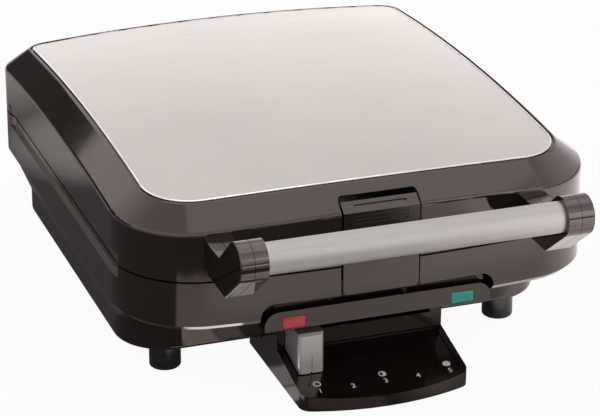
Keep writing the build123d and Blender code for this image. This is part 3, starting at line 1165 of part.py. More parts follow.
def thermostat_body():
    """Thermostat against the front of the reflector pan, with its shaft's bore and two blade terminals."""
    half = THERMOSTAT_WIDTH / 2
    y_span = (ahead(THERMOSTAT_FRONT_AHEAD), PAN_FRONT_Y - PAN_FACE_GAP)
    body = block((-half, half), y_span, (THERMOSTAT_FOOT_Z, THERMOSTAT_FOOT_Z + THERMOSTAT_HEIGHT))
    body -= rod_z(0, ahead(PINION_AHEAD), (THERMOSTAT_FOOT_Z - 1, THERMOSTAT_FOOT_Z + SHAFT_DEPTH + 0.3),
                  PINION_SHAFT_RADIUS + RUNNING_FIT)
    for side in (-1, 1):
        blade_x = sorted((side * (half - 0.5), side * (half + 8)))
        blade_z = (THERMOSTAT_FOOT_Z + 9, THERMOSTAT_FOOT_Z + 9 + BLADE_THICKNESS)
        body += block(blade_x, (PAN_FRONT_Y - 9, PAN_FRONT_Y - 3), blade_z)
    return body


def thermal_fuse():
    """Small fuse barrel in a clip on the front of the reflector pan."""
    y = PAN_FRONT_Y - PAN_FACE_GAP - FUSE_CLIP - FUSE_RADIUS
    body = rod_x((FUSE_X - FUSE_LENGTH / 2, FUSE_X + FUSE_LENGTH / 2), y, FUSE_Z, FUSE_RADIUS)
    clip = block((FUSE_X - FUSE_CLIP_WIDTH / 2, FUSE_X + FUSE_CLIP_WIDTH / 2),
                 (y, PAN_FRONT_Y - PAN_FACE_GAP), (FUSE_Z - FUSE_RADIUS, FUSE_Z + FUSE_RADIUS))
    return body + clip


def terminal_block():
    """Ceramic terminal block with three screw wells, on the front of the reflector pan."""
    width, depth, height = TERMINAL_BLOCK_SIZE
    y_span = (PAN_FRONT_Y - PAN_FACE_GAP - depth, PAN_FRONT_Y - PAN_FACE_GAP)
    x_span = (TERMINAL_BLOCK_X - width / 2, TERMINAL_BLOCK_X + width / 2)
    body = block(x_span, y_span, (FUSE_Z - height / 2, FUSE_Z + height / 2))
    for well in (-1, 0, 1):
        x = TERMINAL_BLOCK_X + well * width / 3
        body -= rod_z(x, sum(y_span) / 2, (FUSE_Z, FUSE_Z + height), TERMINAL_WELL_RADIUS)
    return body


def slide_rail():
    """Steel rod that the carriage runs along."""
    middle = (CARRIAGE_FRONT_AHEAD + CARRIAGE_BACK_AHEAD) / 2
    return rod_x((-TONGUE_HALF_WIDTH, TONGUE_HALF_WIDTH), ahead(middle), RAIL_Z, RAIL_RADIUS)


def cord_bushing():
    """Bushing of the supply cord in the rear wall: flange outside and sleeve through the wall."""
    face_y = REAR_Y + 0.1
    sleeve = rod_y(CORD_INLET_X, (REAR_Y - WALL - CORD_SLEEVE, REAR_Y + 1), CORD_INLET_Z, CORD_INLET_RADIUS)
    flange = rod_y(CORD_INLET_X, (face_y, face_y + CORD_FLANGE_THICKNESS), CORD_INLET_Z, CORD_FLANGE_RADIUS)
    flange = fillet(flange.faces().sort_by(Axis.Y)[-1].edges(), CORD_FLANGE_THICKNESS * 0.4)
    return sleeve + flange - rod_y(CORD_INLET_X, (REAR_Y - 20, REAR_Y + 8), CORD_INLET_Z, CORD_BORE_RADIUS)


def main():
    """Builds every piece and writes it to its own file."""
    lower_pan = reflector()
    grid = lower_grid()
    heater = element()
    bushes = element_bushes()
    pieces = {
        "base_housing": base_housing(),
        "bottom_tray": tray(),
        "foot_screws": foot_screws(),
        "base_deck": base_deck(),
        "base_deck_screws": deck_screws(),
        "lower_grid": grid,
        "lower_grid_screws": grid_screws(),
        "lower_heating_element": heater,
        "lower_element_bushes": bushes,
        "lower_reflector": lower_pan,
        "console_housing": console_housing(),
        "console_cover": console_cover(),
        "console_screws": console_screws(),
        "power_lens": lens(-1),
        "ready_lens": lens(1),
        "indicator_lamps": lamps(),
        "lid_housing": lid_housing(),
        "cover_plate": cover_plate(),
        "lid_deck": lid_deck(),
        "lid_deck_screws": lid_deck_screws(),
        "upper_grid": flipped(grid),
        "upper_grid_screws": flipped(grid_screws()),
        "upper_heating_element": flipped(heater),
        "upper_element_bushes": flipped(bushes),
        "upper_reflector": flipped(lower_pan),
        "handle_tube": handle_tube(),
        "handle_screws": handle_screws(),
        "latch_lever": latch_lever(),
        "latch_pin": latch_pin(),
        "latch_spring": latch_spring(),
        "latch_keeper": latch_keeper(),
        "browning_knob": browning_knob(),
        "slide_carriage": slide_carriage(),
        "slide_rail": slide_rail(),
        "slide_pinion": pinion(),
        "thermostat_shaft": thermostat_shaft(),
        "thermostat_body": thermostat_body(),
        "thermal_fuse": thermal_fuse(),
        "terminal_block": terminal_block(),
        "cord_bushing": cord_bushing(),
        "hinge_bracket_screws": hinge_screws(False),
        "hinge_arm_screws": hinge_screws(True),
    }
    for name, (x, y) in FOOT_POINTS.items():
        pieces["foot_" + name] = foot(x, y)
    for name, side in (("left", -1), ("right", 1)):
        x = side * HINGE_X
        pieces["hinge_bracket_" + name] = hinge_bracket(x)
        pieces["hinge_arm_" + name] = hinge_arm(x)
        pieces["hinge_pin_" + name] = hinge_pin(x)
        pieces["handle_arm_" + name] = handle_arm(side)
        pieces["handle_arm_cover_" + name] = handle_cover(side)

    os.makedirs("parts", exist_ok=True)
    for name, piece in pieces.items():
        if isinstance(piece, list):
            piece = Compound(children=[Compound(member.solids()) for member in piece])
        export_step(piece, "parts/" + name + ".step")
        print(name, "written")


if __name__ == "__main__":
    main()
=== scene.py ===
"""Looks of a square belgian waffle maker: finishes, printed scale, lenses, studio and camera.

Everything is in metres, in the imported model's frame: +Z up, -Y towards the front, the table at
z = 0. Distances called ahead are measured forward from the crown of the bowed front wall.

The black mouldings are glossy, so what they mirror makes their looks. The floor's pools of light
and the surround's bright and dark sides stand where the panels have to show light and dark, and
only reflections see them.
"""
import json
import logging
import math
from dataclasses import dataclass
from enum import Enum

import bmesh
import bpy
from mathutils import Matrix, Vector


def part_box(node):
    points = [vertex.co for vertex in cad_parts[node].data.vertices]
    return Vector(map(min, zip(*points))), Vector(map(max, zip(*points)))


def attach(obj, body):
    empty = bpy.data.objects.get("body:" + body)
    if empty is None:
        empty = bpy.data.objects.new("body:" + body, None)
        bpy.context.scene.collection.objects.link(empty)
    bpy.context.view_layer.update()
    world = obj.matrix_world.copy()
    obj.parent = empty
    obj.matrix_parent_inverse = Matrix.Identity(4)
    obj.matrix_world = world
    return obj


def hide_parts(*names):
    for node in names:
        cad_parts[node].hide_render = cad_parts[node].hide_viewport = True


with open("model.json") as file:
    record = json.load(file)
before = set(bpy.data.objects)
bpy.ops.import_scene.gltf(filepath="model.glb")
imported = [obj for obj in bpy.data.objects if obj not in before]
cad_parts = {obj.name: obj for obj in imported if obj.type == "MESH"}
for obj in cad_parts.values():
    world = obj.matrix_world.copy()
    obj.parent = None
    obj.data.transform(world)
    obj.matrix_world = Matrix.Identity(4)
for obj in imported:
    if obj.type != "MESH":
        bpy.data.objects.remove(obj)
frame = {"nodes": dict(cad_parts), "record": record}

LOG = logging.getLogger("waffle_maker")
MM = 0.001
# How far the tongue's moulding reaches ahead of the crown of the front wall
TONGUE_REACH = 22.0 * MM
Colour = tuple[float, float, float]
Triple = tuple[float, float, float]
Socket = bpy.types.NodeSocket
WHITE: Colour = (1.0, 1.0, 1.0)
WARM_WHITE: Colour = (1.0, 0.93, 0.905)


class Brushing(Enum):
    """Which way the fine lines of a brushed surface run, as stretch of the noise along X, Y, Z."""

    SHEET_ALONG_X = (9.0, 1700.0, 0.0)
    TUBE_ALONG_X = (9.0, 1900.0, 1900.0)


class Mark(Enum):
    """Filling of a ring on the printed scale."""

    OPEN = "open"
    HALF = "half"
    FULL = "full"


class NodeSheet:
    """A node tree with short ways to add and join its nodes."""

    def __init__(self, tree: bpy.types.NodeTree) -> None:
        """Takes the tree, and empties it.

        Args:
            tree: node tree of a material or a world.
        """
        self.tree = tree
        self.tree.nodes.clear()

    def add(self, kind: str, **settings: object) -> bpy.types.Node:
        """Adds a node.

        Args:
            kind: type name of the node.
            settings: properties to set on it.

        Returns:
            The new node.
        """
        node = self.tree.nodes.new(kind)
        for key, value in settings.items():
            setattr(node, key, value)
        return node

    def link(self, source: Socket, target: Socket) -> None:
        """Joins an output to an input."""
        self.tree.links.new(source, target)

    def feed(self, target: Socket, value: object) -> None:
        """Gives an input its value.

        Args:
            target: the input.
            value: an output to join to it, or a number or numbers to set.
        """
        if isinstance(value, Socket):
            self.link(value, target)
        else:
            target.default_value = value

    def combine(self, first: Socket, second: Socket | float, kind: str = "ADD") -> Socket:
        """One arithmetic step on two values.

        Args:
            first: the first value.
            second: the second value, an output or a number.
            kind: the operation.

        Returns:
            The result.
        """
        node = self.add("ShaderNodeMath", operation=kind)
        self.link(first, node.inputs[0])
        self.feed(node.inputs[1], second)
        return node.outputs[0]

    def product(self, first: Socket, *others: Socket | float) -> Socket:
        """Multiplies values.

        Args:
            first: the first value.
            others: the other values, outputs or numbers.

        Returns:
            The product of them all.
        """
        for other in others:
            first = self.combine(first, other, "MULTIPLY")
        return first

    def greatest(self, first: Socket, *others: Socket | float) -> Socket:
        """Picks the greatest of some values.

        Args:
            first: the first value.
            others: the other values, outputs or numbers.

        Returns:
            The greatest of them all.
        """
        for other in others:
            first = self.combine(first, other, "MAXIMUM")
        return first

    def span(self, factor: Socket, low: Socket | float, high: Socket | float,
             start: float = 0.3, end: float = 0.7, soft: bool = False) -> Socket:
        """Maps a factor from one range to another, without going past its ends.

        Args:
            factor: the incoming factor.
            low: result at and below start.
            high: result at and above end.
            start: factor that gives low.
            end: factor that gives high.
            soft: whether the change eases in and out.

        Returns:
            The mapped value.
        """
        kind = "SMOOTHSTEP" if soft else "LINEAR"
        node = self.add("ShaderNodeMapRange", interpolation_type=kind)
        for name, value in (("From Min", start), ("From Max", end), ("To Min", low),
                            ("To Max", high), ("Value", factor)):
            self.feed(node.inputs[name], value)
        return node.outputs["Result"]

    def blend(self, factor: Socket, first: Socket | Colour, second: Colour) -> Socket:
        """Colour that goes from the first to the second as the factor rises from 0 to 1.

        Args:
            factor: share of the second colour.
            first: the first colour, an output or red, green and blue.
            second: the second colour.

        Returns:
            The mixed colour.
        """
        node = self.add("ShaderNodeMix", data_type="RGBA")
        self.link(factor, node.inputs["Factor"])
        start, end = [socket for socket in node.inputs if socket.type == "RGBA"]
        self.feed(start, first if isinstance(first, Socket) else (*first, 1.0))
        self.feed(end, (*second, 1.0))
        return next(socket for socket in node.outputs if socket.type == "RGBA")

    def seen(self) -> Socket:
        """Tells what is looked at from what is lit.

        Returns:
            1 for what the camera sees directly, mirrored or through clear plastic, and else 0.
        """
        rays = self.add("ShaderNodeLightPath").outputs
        return self.greatest(rays["Is Camera Ray"], rays["Is Glossy Ray"],
                             rays["Is Transmission Ray"])

    def mirrored(self) -> Socket:
        """1 for what a reflection sees, and else 0."""
        return self.add("ShaderNodeLightPath").outputs["Is Glossy Ray"]


class Shader(NodeSheet):
    """A material under construction."""

    def __init__(self, name: str) -> None:
        """Starts a material with an output and a principled shader.

        Args:
            name: name of the material.
        """
        self.material = bpy.data.materials.new(name)
        self.material.use_nodes = True
        super().__init__(self.material.node_tree)
        self.output = self.add("ShaderNodeOutputMaterial")
        self.principled = self.add("ShaderNodeBsdfPrincipled")
        self.link(self.principled.outputs["BSDF"], self.output.inputs["Surface"])
        self.place = self.add("ShaderNodeTexCoord").outputs["Object"]

    def set(self, **values: object) -> None:
        """Sets sockets of the principled shader.

        Args:
            values: outputs, numbers or colours, by the socket's name with underscores for spaces.
        """
        for key, value in values.items():
            socket = self.principled.inputs[key.replace("_", " ")]
            if isinstance(value, tuple) and socket.type == "RGBA":
                value = (*value, 1.0)
            self.feed(socket, value)

    def noise(self, stretch: Triple, detail: float, roughness: float) -> Socket:
        """Soft noise over the object.

        Args:
            stretch: how many noise cells to the metre along each axis.
            detail: octaves of the noise.
            roughness: weight of the finer octaves.

        Returns:
            The noise's factor.
        """
        mapping = self.add("ShaderNodeMapping")
        mapping.inputs["Scale"].default_value = stretch
        self.link(self.place, mapping.inputs["Vector"])
        node = self.add("ShaderNodeTexNoise")
        for name, value in (("Scale", 1.0), ("Detail", detail), ("Roughness", roughness),
                            ("Vector", mapping.outputs["Vector"])):
            self.feed(node.inputs[name], value)
        return node.outputs["Fac"]

    def even(self, cells: float, detail: float, roughness: float = 0.5) -> Socket:
        """Noise with the same number of cells to the metre along each axis."""
        return self.noise((cells, cells, cells), detail, roughness)

    def bump(self, height: Socket, strength: float, depth: float) -> None:
        """Raises the surface by a height map.

        Args:
            height: the height, from 0 to 1.
            strength: how much of it shows.
            depth: height in metres that 1 stands for.
        """
        node = self.add("ShaderNodeBump")
        for name, value in (("Strength", strength), ("Distance", depth), ("Height", height)):
            self.feed(node.inputs[name], value)
        self.link(node.outputs["Normal"], self.principled.inputs["Normal"])


@dataclass(frozen=True)
class Ramp:
    """A value that goes from low at start to high at end, and stays the same beyond them."""

    start: float
    end: float
    low: float = 0.0
    high: float = 1.0
    soft: bool = True

    def over(self, sheet: NodeSheet, value: Socket) -> Socket:
        """Maps a value with this ramp."""
        return sheet.span(value, self.low, self.high, self.start, self.end, self.soft)


@dataclass(frozen=True)
class Mottle:
    """Soft noise: cells to the metre, octaves, and the noise that counts as none and as all."""

    cells: float
    detail: float = 2.0
    start: float = 0.3
    end: float = 0.7

    def spread(self, shader: Shader, low: float = 0.0, high: float = 1.0) -> Socket:
        """The noise, spread from one value to another."""
        return shader.span(shader.even(self.cells, self.detail), low, high, self.start, self.end)


@dataclass(frozen=True)
class Relief:
    """Fine bumps: cells to the metre, octaves, how much shows, and depth in metres."""

    cells: float
    detail: float
    strength: float
    depth: float

    def raise_on(self, shader: Shader) -> None:
        """Puts the bumps on a material."""
        shader.bump(shader.even(self.cells, self.detail), self.strength, self.depth)


@dataclass(frozen=True)
class Finish:
    """A surface mottled between two colours and between two roughnesses, with fine relief."""

    name: str
    colour: Colour
    second: Colour
    smooth: float
    rough: float
    tone: Mottle
    polish: Mottle
    relief: Relief | None = None
    metallic: float = 0.0
    refraction: float = 1.5
    clearness: float = 0.0
    sheen: Colour = WHITE

    def tint(self, shader: Shader) -> Socket:
        """The mottled colour."""
        return shader.blend(self.tone.spread(shader), self.colour, self.second)

    def build(self) -> bpy.types.Material:
        """Makes the material.

        Returns:
            The material.
        """
        shader = Shader(self.name)
        shader.set(Base_Color=self.tint(shader), Metallic=self.metallic, IOR=self.refraction,
                   Roughness=self.polish.spread(shader, self.smooth, self.rough),
                   Transmission_Weight=self.clearness, Specular_Tint=self.sheen)
        if self.relief:
            self.relief.raise_on(shader)
        return shader.material


@dataclass(frozen=True)
class GlossPlastic(Finish):
    """Polished black moulding with faint flow marks, a trace of dust and soft smudges."""

    name: str = "gloss_black_moulding"
    colour: Colour = (0.0093, 0.0063, 0.0052)
    second: Colour = (0.0145, 0.0106, 0.0092)
    smooth: float = 0.06
    rough: float = 0.13
    tone: Mottle = Mottle(9.0, 3.0)
    polish: Mottle = Mottle(26.0, 4.0, 0.42, 0.75)
    relief: Relief = Relief(300.0, 2.0, 0.05, 0.06 * MM)
    refraction: float = 1.72
    sheen: Colour = (1.0, 0.87, 0.84)
    dust: Colour = (0.055, 0.05, 0.047)
    specks: Mottle = Mottle(520.0, 1.0, 0.76, 0.82)

    def tint(self, shader: Shader) -> Socket:
        """The mottled black with specks of dust on it."""
        return shader.blend(self.specks.spread(shader), super().tint(shader), self.dust)


@dataclass(frozen=True)
class MattPlastic(Finish):
    """Fine-grained matt moulding."""

    colour: Colour = (0.018, 0.0175, 0.017)
    second: Colour = (0.027, 0.02625, 0.0255)
    smooth: float = 0.42
    rough: float = 0.58
    tone: Mottle = Mottle(40.0, 4.0)
    polish: Mottle = Mottle(90.0, 3.0)
    relief: Relief = Relief(2200.0, 2.0, 0.35, 0.05 * MM)


@dataclass(frozen=True)
class PlainMetal(Finish):
    """Plated, pressed or heat-darkened metal with uneven sheen."""

    colour: Colour = (0.58, 0.58, 0.57)
    second: Colour = (0.4, 0.39, 0.36)
    smooth: float = 0.22
    rough: float = 0.42
    tone: Mottle = Mottle(60.0, 4.0)
    polish: Mottle = Mottle(240.0)
    relief: Relief = Relief(480.0, 2.0, 0.08, 0.04 * MM)
    metallic: float = 1.0


@dataclass(frozen=True)
class CastCoating(Finish):
    """Cast metal under a dark non-stick coat: fine pebbling, small pale flecks, a low sheen."""

    name: str = "non_stick_coat"
    colour: Colour = (0.03, 0.03, 0.032)
    second: Colour = (0.14, 0.14, 0.145)
    smooth: float = 0.3
    rough: float = 0.46
    tone: Mottle = Mottle(900.0, 1.0, 0.68, 0.74)
    polish: Mottle = Mottle(120.0, 3.0)
    relief: Relief = Relief(1500.0, 2.0, 0.25, 0.05 * MM)
    metallic: float = 0.35
    refraction: float = 1.45


@dataclass(frozen=True)
class SatinPaint(Finish):
    """Satin silver paint with a fine metal flake."""

    name: str = "silver_paint"
    colour: Colour = (0.55, 0.54, 0.53)
    second: Colour = (0.7, 0.69, 0.68)
    smooth: float = 0.3
    rough: float = 0.42
    tone: Mottle = Mottle(3800.0, 1.0, 0.5, 0.75)
    polish: Mottle = Mottle(150.0)
    relief: Relief = Relief(2600.0, 1.0, 0.06, 0.03 * MM)
    metallic: float = 0.75


@dataclass(frozen=True)
class Rubber(Finish):
    """Dull moulded rubber with a bloom of dust."""

    name: str = "foot_rubber"
    colour: Colour = (0.009, 0.0085, 0.0085)
    second: Colour = (0.022, 0.021, 0.02)
    smooth: float = 0.2
    rough: float = 0.34
    tone: Mottle = Mottle(110.0, 4.0)
    polish: Mottle = Mottle(300.0)
    relief: Relief = Relief(1800.0, 2.0, 0.1, 0.05 * MM)
    refraction: float = 1.65


@dataclass(frozen=True)
class CeramicBody(Finish):
    """Unglazed white ceramic."""

    name: str = "ceramic"
    colour: Colour = (0.74, 0.71, 0.64)
    second: Colour = (0.6, 0.56, 0.48)
    smooth: float = 0.6
    rough: float = 0.8
    tone: Mottle = Mottle(140.0, 4.0)
    polish: Mottle = Mottle(500.0)
    relief: Relief = Relief(1600.0, 3.0, 0.3, 0.06 * MM)


@dataclass(frozen=True)
class LensPlastic(Finish):
    """Tinted see-through plastic of an indicator lens."""

    smooth: float = 0.1
    rough: float = 0.2
    tone: Mottle = Mottle(2600.0, 1.0)
    polish: Mottle = Mottle(700.0)
    relief: Relief = Relief(2400.0, 1.0, 0.1, 0.05 * MM)
    refraction: float = 1.49
    clearness: float = 0.1


@dataclass(frozen=True)
class ScaleInk(Finish):
    """Pale printing ink, a little thin in places."""

    name: str = "scale_ink"
    colour: Colour = (0.84, 0.84, 0.83)
    second: Colour = (0.66, 0.66, 0.65)
    smooth: float = 0.4
    rough: float = 0.55
    tone: Mottle = Mottle(2200.0)
    polish: Mottle = Mottle(600.0)


@dataclass(frozen=True)
class BrushedMetal:
    """Steel with fine lines one way and cloudy patches; its highlight spreads across the lines."""

    name: str
    brushing: Brushing
    colour: Colour = (0.63, 0.625, 0.61)
    shade: Colour = (0.52, 0.515, 0.5)
    smooth: float = 0.2
    rough: float = 0.3
    anisotropy: float = 0.5
    across: float = 0.25
    line_detail: float = 3.0
    line_roughness: float = 0.62
    line_polish: tuple[float, float] = (0.25, 0.75)
    line_strength: float = 0.12
    line_depth: float = 0.03 * MM
    streaks: Ramp = Ramp(0.25, 0.8, 0.0, 0.8, False)
    clouds: Mottle = Mottle(11.0, 2.0, 0.3, 0.75)

    def build(self) -> bpy.types.Material:
        """Makes the material.

        Returns:
            The material.
        """
        shader = Shader(self.name)
        lines = shader.noise(self.brushing.value, self.line_detail, self.line_roughness)
        streak = shader.product(self.streaks.over(shader, lines), self.clouds.spread(shader))
        shader.set(Base_Color=shader.blend(streak, self.colour, self.shade), Metallic=1.0,
                   Roughness=shader.span(lines, self.smooth, self.rough, *self.line_polish),
                   Anisotropic=self.anisotropy, Anisotropic_Rotation=self.across)
        along_x = shader.add("ShaderNodeCombineXYZ")
        along_x.inputs["X"].default_value = 1.0
        shader.link(along_x.outputs["Vector"], shader.principled.inputs["Tangent"])
        shader.bump(lines, self.line_strength, self.line_depth)
        return shader.material


class Finishes:
    """All finishes, and the record's slots and the nodes that they belong to."""

    def __init__(self) -> None:
        """Builds each material once."""
        gloss = GlossPlastic().build()
        self.ink = ScaleInk().build()
        # Brighter, smoother metal that paints the highlight line along the edge of the lid's plate
        self.polished = PlainMetal("plate_edge_highlight", (0.9, 0.89, 0.88), (0.8, 0.79, 0.78),
                                   0.1, 0.2).build()
        self.by_slot: dict[str, bpy.types.Material] = {
            "gloss_black": gloss,
            "matt_black": MattPlastic("matt_black_moulding").build(),
            "brushed_steel": BrushedMetal("brushed_sheet", Brushing.SHEET_ALONG_X).build(),
            "grid_coating": CastCoating().build(),
            "pan_metal": PlainMetal("bright_pan", (0.7, 0.7, 0.7), (0.52, 0.52, 0.51)).build(),
            "heater_sheath": PlainMetal("heater_sheath", (0.13, 0.12, 0.1), (0.2, 0.16, 0.12),
                                        0.4, 0.6).build(),
            "ceramic": CeramicBody().build(),
            "foot_rubber": Rubber().build(),
            "plated_steel": PlainMetal("plated_steel").build(),
            "silver_knob": SatinPaint().build(),
            "red_lens": LensPlastic("red_lens", (0.72, 0.06, 0.07), (0.5, 0.03, 0.045)).build(),
            "green_lens": LensPlastic("green_lens", (0.03, 0.5, 0.4),
                                      (0.015, 0.34, 0.28)).build(),
            "lamp_glass": LensPlastic("lamp_glass", (0.86, 0.84, 0.8), (0.8, 0.78, 0.74),
                                      clearness=0.8).build(),
            "nylon": MattPlastic("natural_nylon", (0.5, 0.49, 0.45),
                                 (0.75, 0.735, 0.675)).build(),
        }
        tube = BrushedMetal("brushed_tube", Brushing.TUBE_ALONG_X, (0.46, 0.45, 0.44),
                            (0.39, 0.38, 0.37), 0.42, 0.52, 0.7).build()
        arm = GlossPlastic("polished_arm", smooth=0.03, rough=0.08, refraction=1.95).build()
        self.by_node = {"handle_tube": tube, "bottom_tray": gloss}
        self.by_node.update({node: arm for node in frame["nodes"]
                             if node.startswith("handle_arm")})

    def dress_nodes(self) -> None:
        """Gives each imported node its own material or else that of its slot."""
        slots = {entry["node"]: entry["material_slot"] for entry in frame["record"]["subparts"]}
        for node, piece in frame["nodes"].items():
            material = self.by_node.get(node, self.by_slot[slots[node]])
            piece.data.materials.clear()
            piece.data.materials.append(material)
            LOG.info("dressed %s with %s", node, material.name)


class MeshTools:
    """Ways to turn forms into objects."""

    @staticmethod
    def to_object(name: str, mesh: bmesh.types.BMesh, material: bpy.types.Material,
                  smooth: bool = True) -> bpy.types.Object:
        """Turns a form into a linked object.

        Args:
            name: name of the object.
            mesh: the form, which is freed here.
            material: its finish.
            smooth: whether its faces are shaded smooth.

        Returns:
            The new object.
        """
        data = bpy.data.meshes.new(name)
        mesh.to_mesh(data)
        mesh.free()
        piece = bpy.data.objects.new(name, data)
        bpy.context.scene.collection.objects.link(piece)
        data.materials.append(material)
        for face in data.polygons:
            face.use_smooth = smooth
        return piece

    @staticmethod
    def block(mesh: bmesh.types.BMesh, low: Vector, high: Vector) -> None:
        """Adds a plain block to a form.

        Args:
            mesh: the form.
            low: lowest corner of the block.
            high: highest corner of the block.
        """
        made = bmesh.ops.create_cube(mesh, size=1.0)
        bmesh.ops.scale(mesh, vec=high - low, verts=made["verts"])
        bmesh.ops.translate(mesh, vec=(high + low) / 2, verts=made["verts"])


@dataclass
class LidPlate:
    """A painted highlight along the edge of the steel plate in the lid: a band of brighter,
    smoother metal laid over the plate's rim.
    """

    finishes: Finishes
    edge_width: float = 0.9 * MM
    edge_height: float = 0.04 * MM
    upright: float = 0.9
    weld: float = 1e-6

    def build(self) -> bpy.types.Object:
        """Makes the edge band from the outline of the plate's top.

        Returns:
            The band, which rides on the lid.
        """
        mesh = bmesh.new()
        mesh.from_mesh(frame["nodes"]["cover_plate"].data)
        bmesh.ops.remove_doubles(mesh, verts=mesh.verts, dist=self.weld)
        sides = [face for face in mesh.faces if face.normal.z < self.upright]
        bmesh.ops.delete(mesh, geom=sides, context="FACES")
        inset = bmesh.ops.inset_region(mesh, faces=list(mesh.faces), thickness=self.edge_width,
                                       use_boundary=True)
        band = set(inset["faces"])
        inside = [face for face in mesh.faces if face not in band]
        bmesh.ops.delete(mesh, geom=inside, context="FACES")
        bmesh.ops.translate(mesh, vec=(0, 0, self.edge_height), verts=mesh.verts)
        # The band is a painted highlight standing in for the light that the plate's rounded rim
        # catches
        piece = MeshTools.to_object("plate_edge_highlight_band", mesh, self.finishes.polished)
        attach(piece, "lid")
        LOG.info("built %s", piece.name)
        return piece


@dataclass
class ControlTongue:
    """The printed scale on the control tongue."""

    finishes: Finishes
    rear_ahead: float = -34.0 * MM
    corner_ahead: float = 12.0 * MM
    rear_height: float = 21.5 * MM
    corner_height: float = 11.3 * MM
    panel_sink: float = 0.8 * MM
    setting_pitch: float = 21.2 * MM
    scale_middle: float = 1.3 * MM
    settings: int = 5
    digit_ahead: float = 8.2 * MM
    digit_height: float = 4.1 * MM
    digit_weight: float = 0.05 * MM
    font_scale: float = 1.38
    ring_ahead: float = 1.6 * MM
    ring_radius: float = 2.5 * MM
    ring_line: float = 0.75 * MM
    ring_hub: float = 0.02 * MM
    ring_points: int = 48
    ink_height: float = 0.08 * MM
    weld: float = 1e-7

    def panel_height(self, ahead: float) -> float:
        """Height of the sloping panel.

        Args:
            ahead: distance ahead of the front wall.

        Returns:
            The height there.
        """
        share = (ahead - self.rear_ahead) / (self.corner_ahead - self.rear_ahead)
        rise = share * (self.corner_height - self.rear_height)
        return self.rear_height + rise - self.panel_sink

    def panel_frame(self, x: float, ahead: float, front: float) -> Matrix:
        """Placement on the panel whose X runs right and whose Y runs up the slope.

        Args:
            x: place from left to right.
            ahead: distance ahead of the front wall.
            front: Y of the front wall's crown.

        Returns:
            The placement.
        """
        slope = math.atan2(self.rear_height - self.corner_height,
                           self.corner_ahead - self.rear_ahead)
        place = Matrix.Translation((x, front - ahead, self.panel_height(ahead)))
        return place @ Matrix.Rotation(slope, 4, "X")

    def digit(self, number: int, place: Matrix) -> bpy.types.Object:
        """One raised printed number.

        Args:
            number: the number.
            place: where its middle goes.

        Returns:
            The number as a thin mesh.
        """
        curve = bpy.data.curves.new(f"scale_digit_{number}", "FONT")
        curve.body = str(number)
        curve.align_x = "CENTER"
        curve.align_y = "CENTER"
        curve.size = self.digit_height * self.font_scale
        curve.extrude = self.ink_height / 2
        curve.offset = self.digit_weight
        text = bpy.data.objects.new(curve.name, curve)
        bpy.context.scene.collection.objects.link(text)
        graph = bpy.context.evaluated_depsgraph_get()
        data = bpy.data.meshes.new_from_object(text.evaluated_get(graph))
        bpy.data.objects.remove(text)
        data.transform(place @ Matrix.Translation((0, 0, self.ink_height / 2)))
        data.materials.clear()
        data.materials.append(self.finishes.ink)
        piece = bpy.data.objects.new(f"scale_digit_{number}", data)
        bpy.context.scene.collection.objects.link(piece)
        return piece

    def band(self, mesh: bmesh.types.BMesh, low: float, high: float, steps: int) -> None:
        """Adds a raised band between two radii, anticlockwise from the foot of the ring.

        Args:
            mesh: the form to add it to.
            low: inner radius.
            high: outer radius.
            steps: how many of the ring's points it runs over.
        """
        rows = []
        for step in range(steps + 1):
            angle = 2 * math.pi * step / self.ring_points - math.pi / 2
            rows.append([mesh.verts.new((radius * math.cos(angle), radius * math.sin(angle), rise))
                         for rise in (0.0, self.ink_height) for radius in (low, high)])
        for first, second in zip(rows, rows[1:]):
            for start, end in ((2, 3), (3, 1), (0, 2)):
                mesh.faces.new((first[start], first[end], second[end], second[start]))

    def ring(self, name: str, kind: Mark, place: Matrix) -> bpy.types.Object:
        """One printed ring, open, half filled or full.

        Args:
            name: name of the object.
            kind: how it is filled.
            place: where its middle goes.

        Returns:
            The ring as a thin mesh.
        """
        mesh = bmesh.new()
        inner = self.ring_radius - self.ring_line
        self.band(mesh, inner, self.ring_radius, self.ring_points)
        if kind is not Mark.OPEN:
            filled = self.ring_points if kind is Mark.FULL else self.ring_points // 2
            self.band(mesh, self.ring_hub, inner, filled)
        bmesh.ops.remove_doubles(mesh, verts=mesh.verts, dist=self.weld)
        bmesh.ops.recalc_face_normals(mesh, faces=mesh.faces)
        bmesh.ops.transform(mesh, matrix=place, verts=mesh.verts)
        return MeshTools.to_object(name, mesh, self.finishes.ink, smooth=False)

    def build(self, front: float) -> list[bpy.types.Object]:
        """Makes the scale.

        Args:
            front: Y of the front wall's crown.

        Returns:
            The digits and rings, which ride on the base.
        """
        pieces = []
        marks = {1: Mark.OPEN, 3: Mark.HALF, 5: Mark.FULL}
        for setting in range(1, self.settings + 1):
            x = self.scale_middle + (setting - (self.settings + 1) / 2) * self.setting_pitch
            pieces.append(self.digit(setting, self.panel_frame(x, self.digit_ahead, front)))
            if setting in marks:
                place = self.panel_frame(x, self.ring_ahead, front)
                pieces.append(self.ring(f"scale_ring_{setting}", marks[setting], place))
        for piece in pieces:
            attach(piece, "base")
            LOG.info("built %s", piece.name)
        return pieces


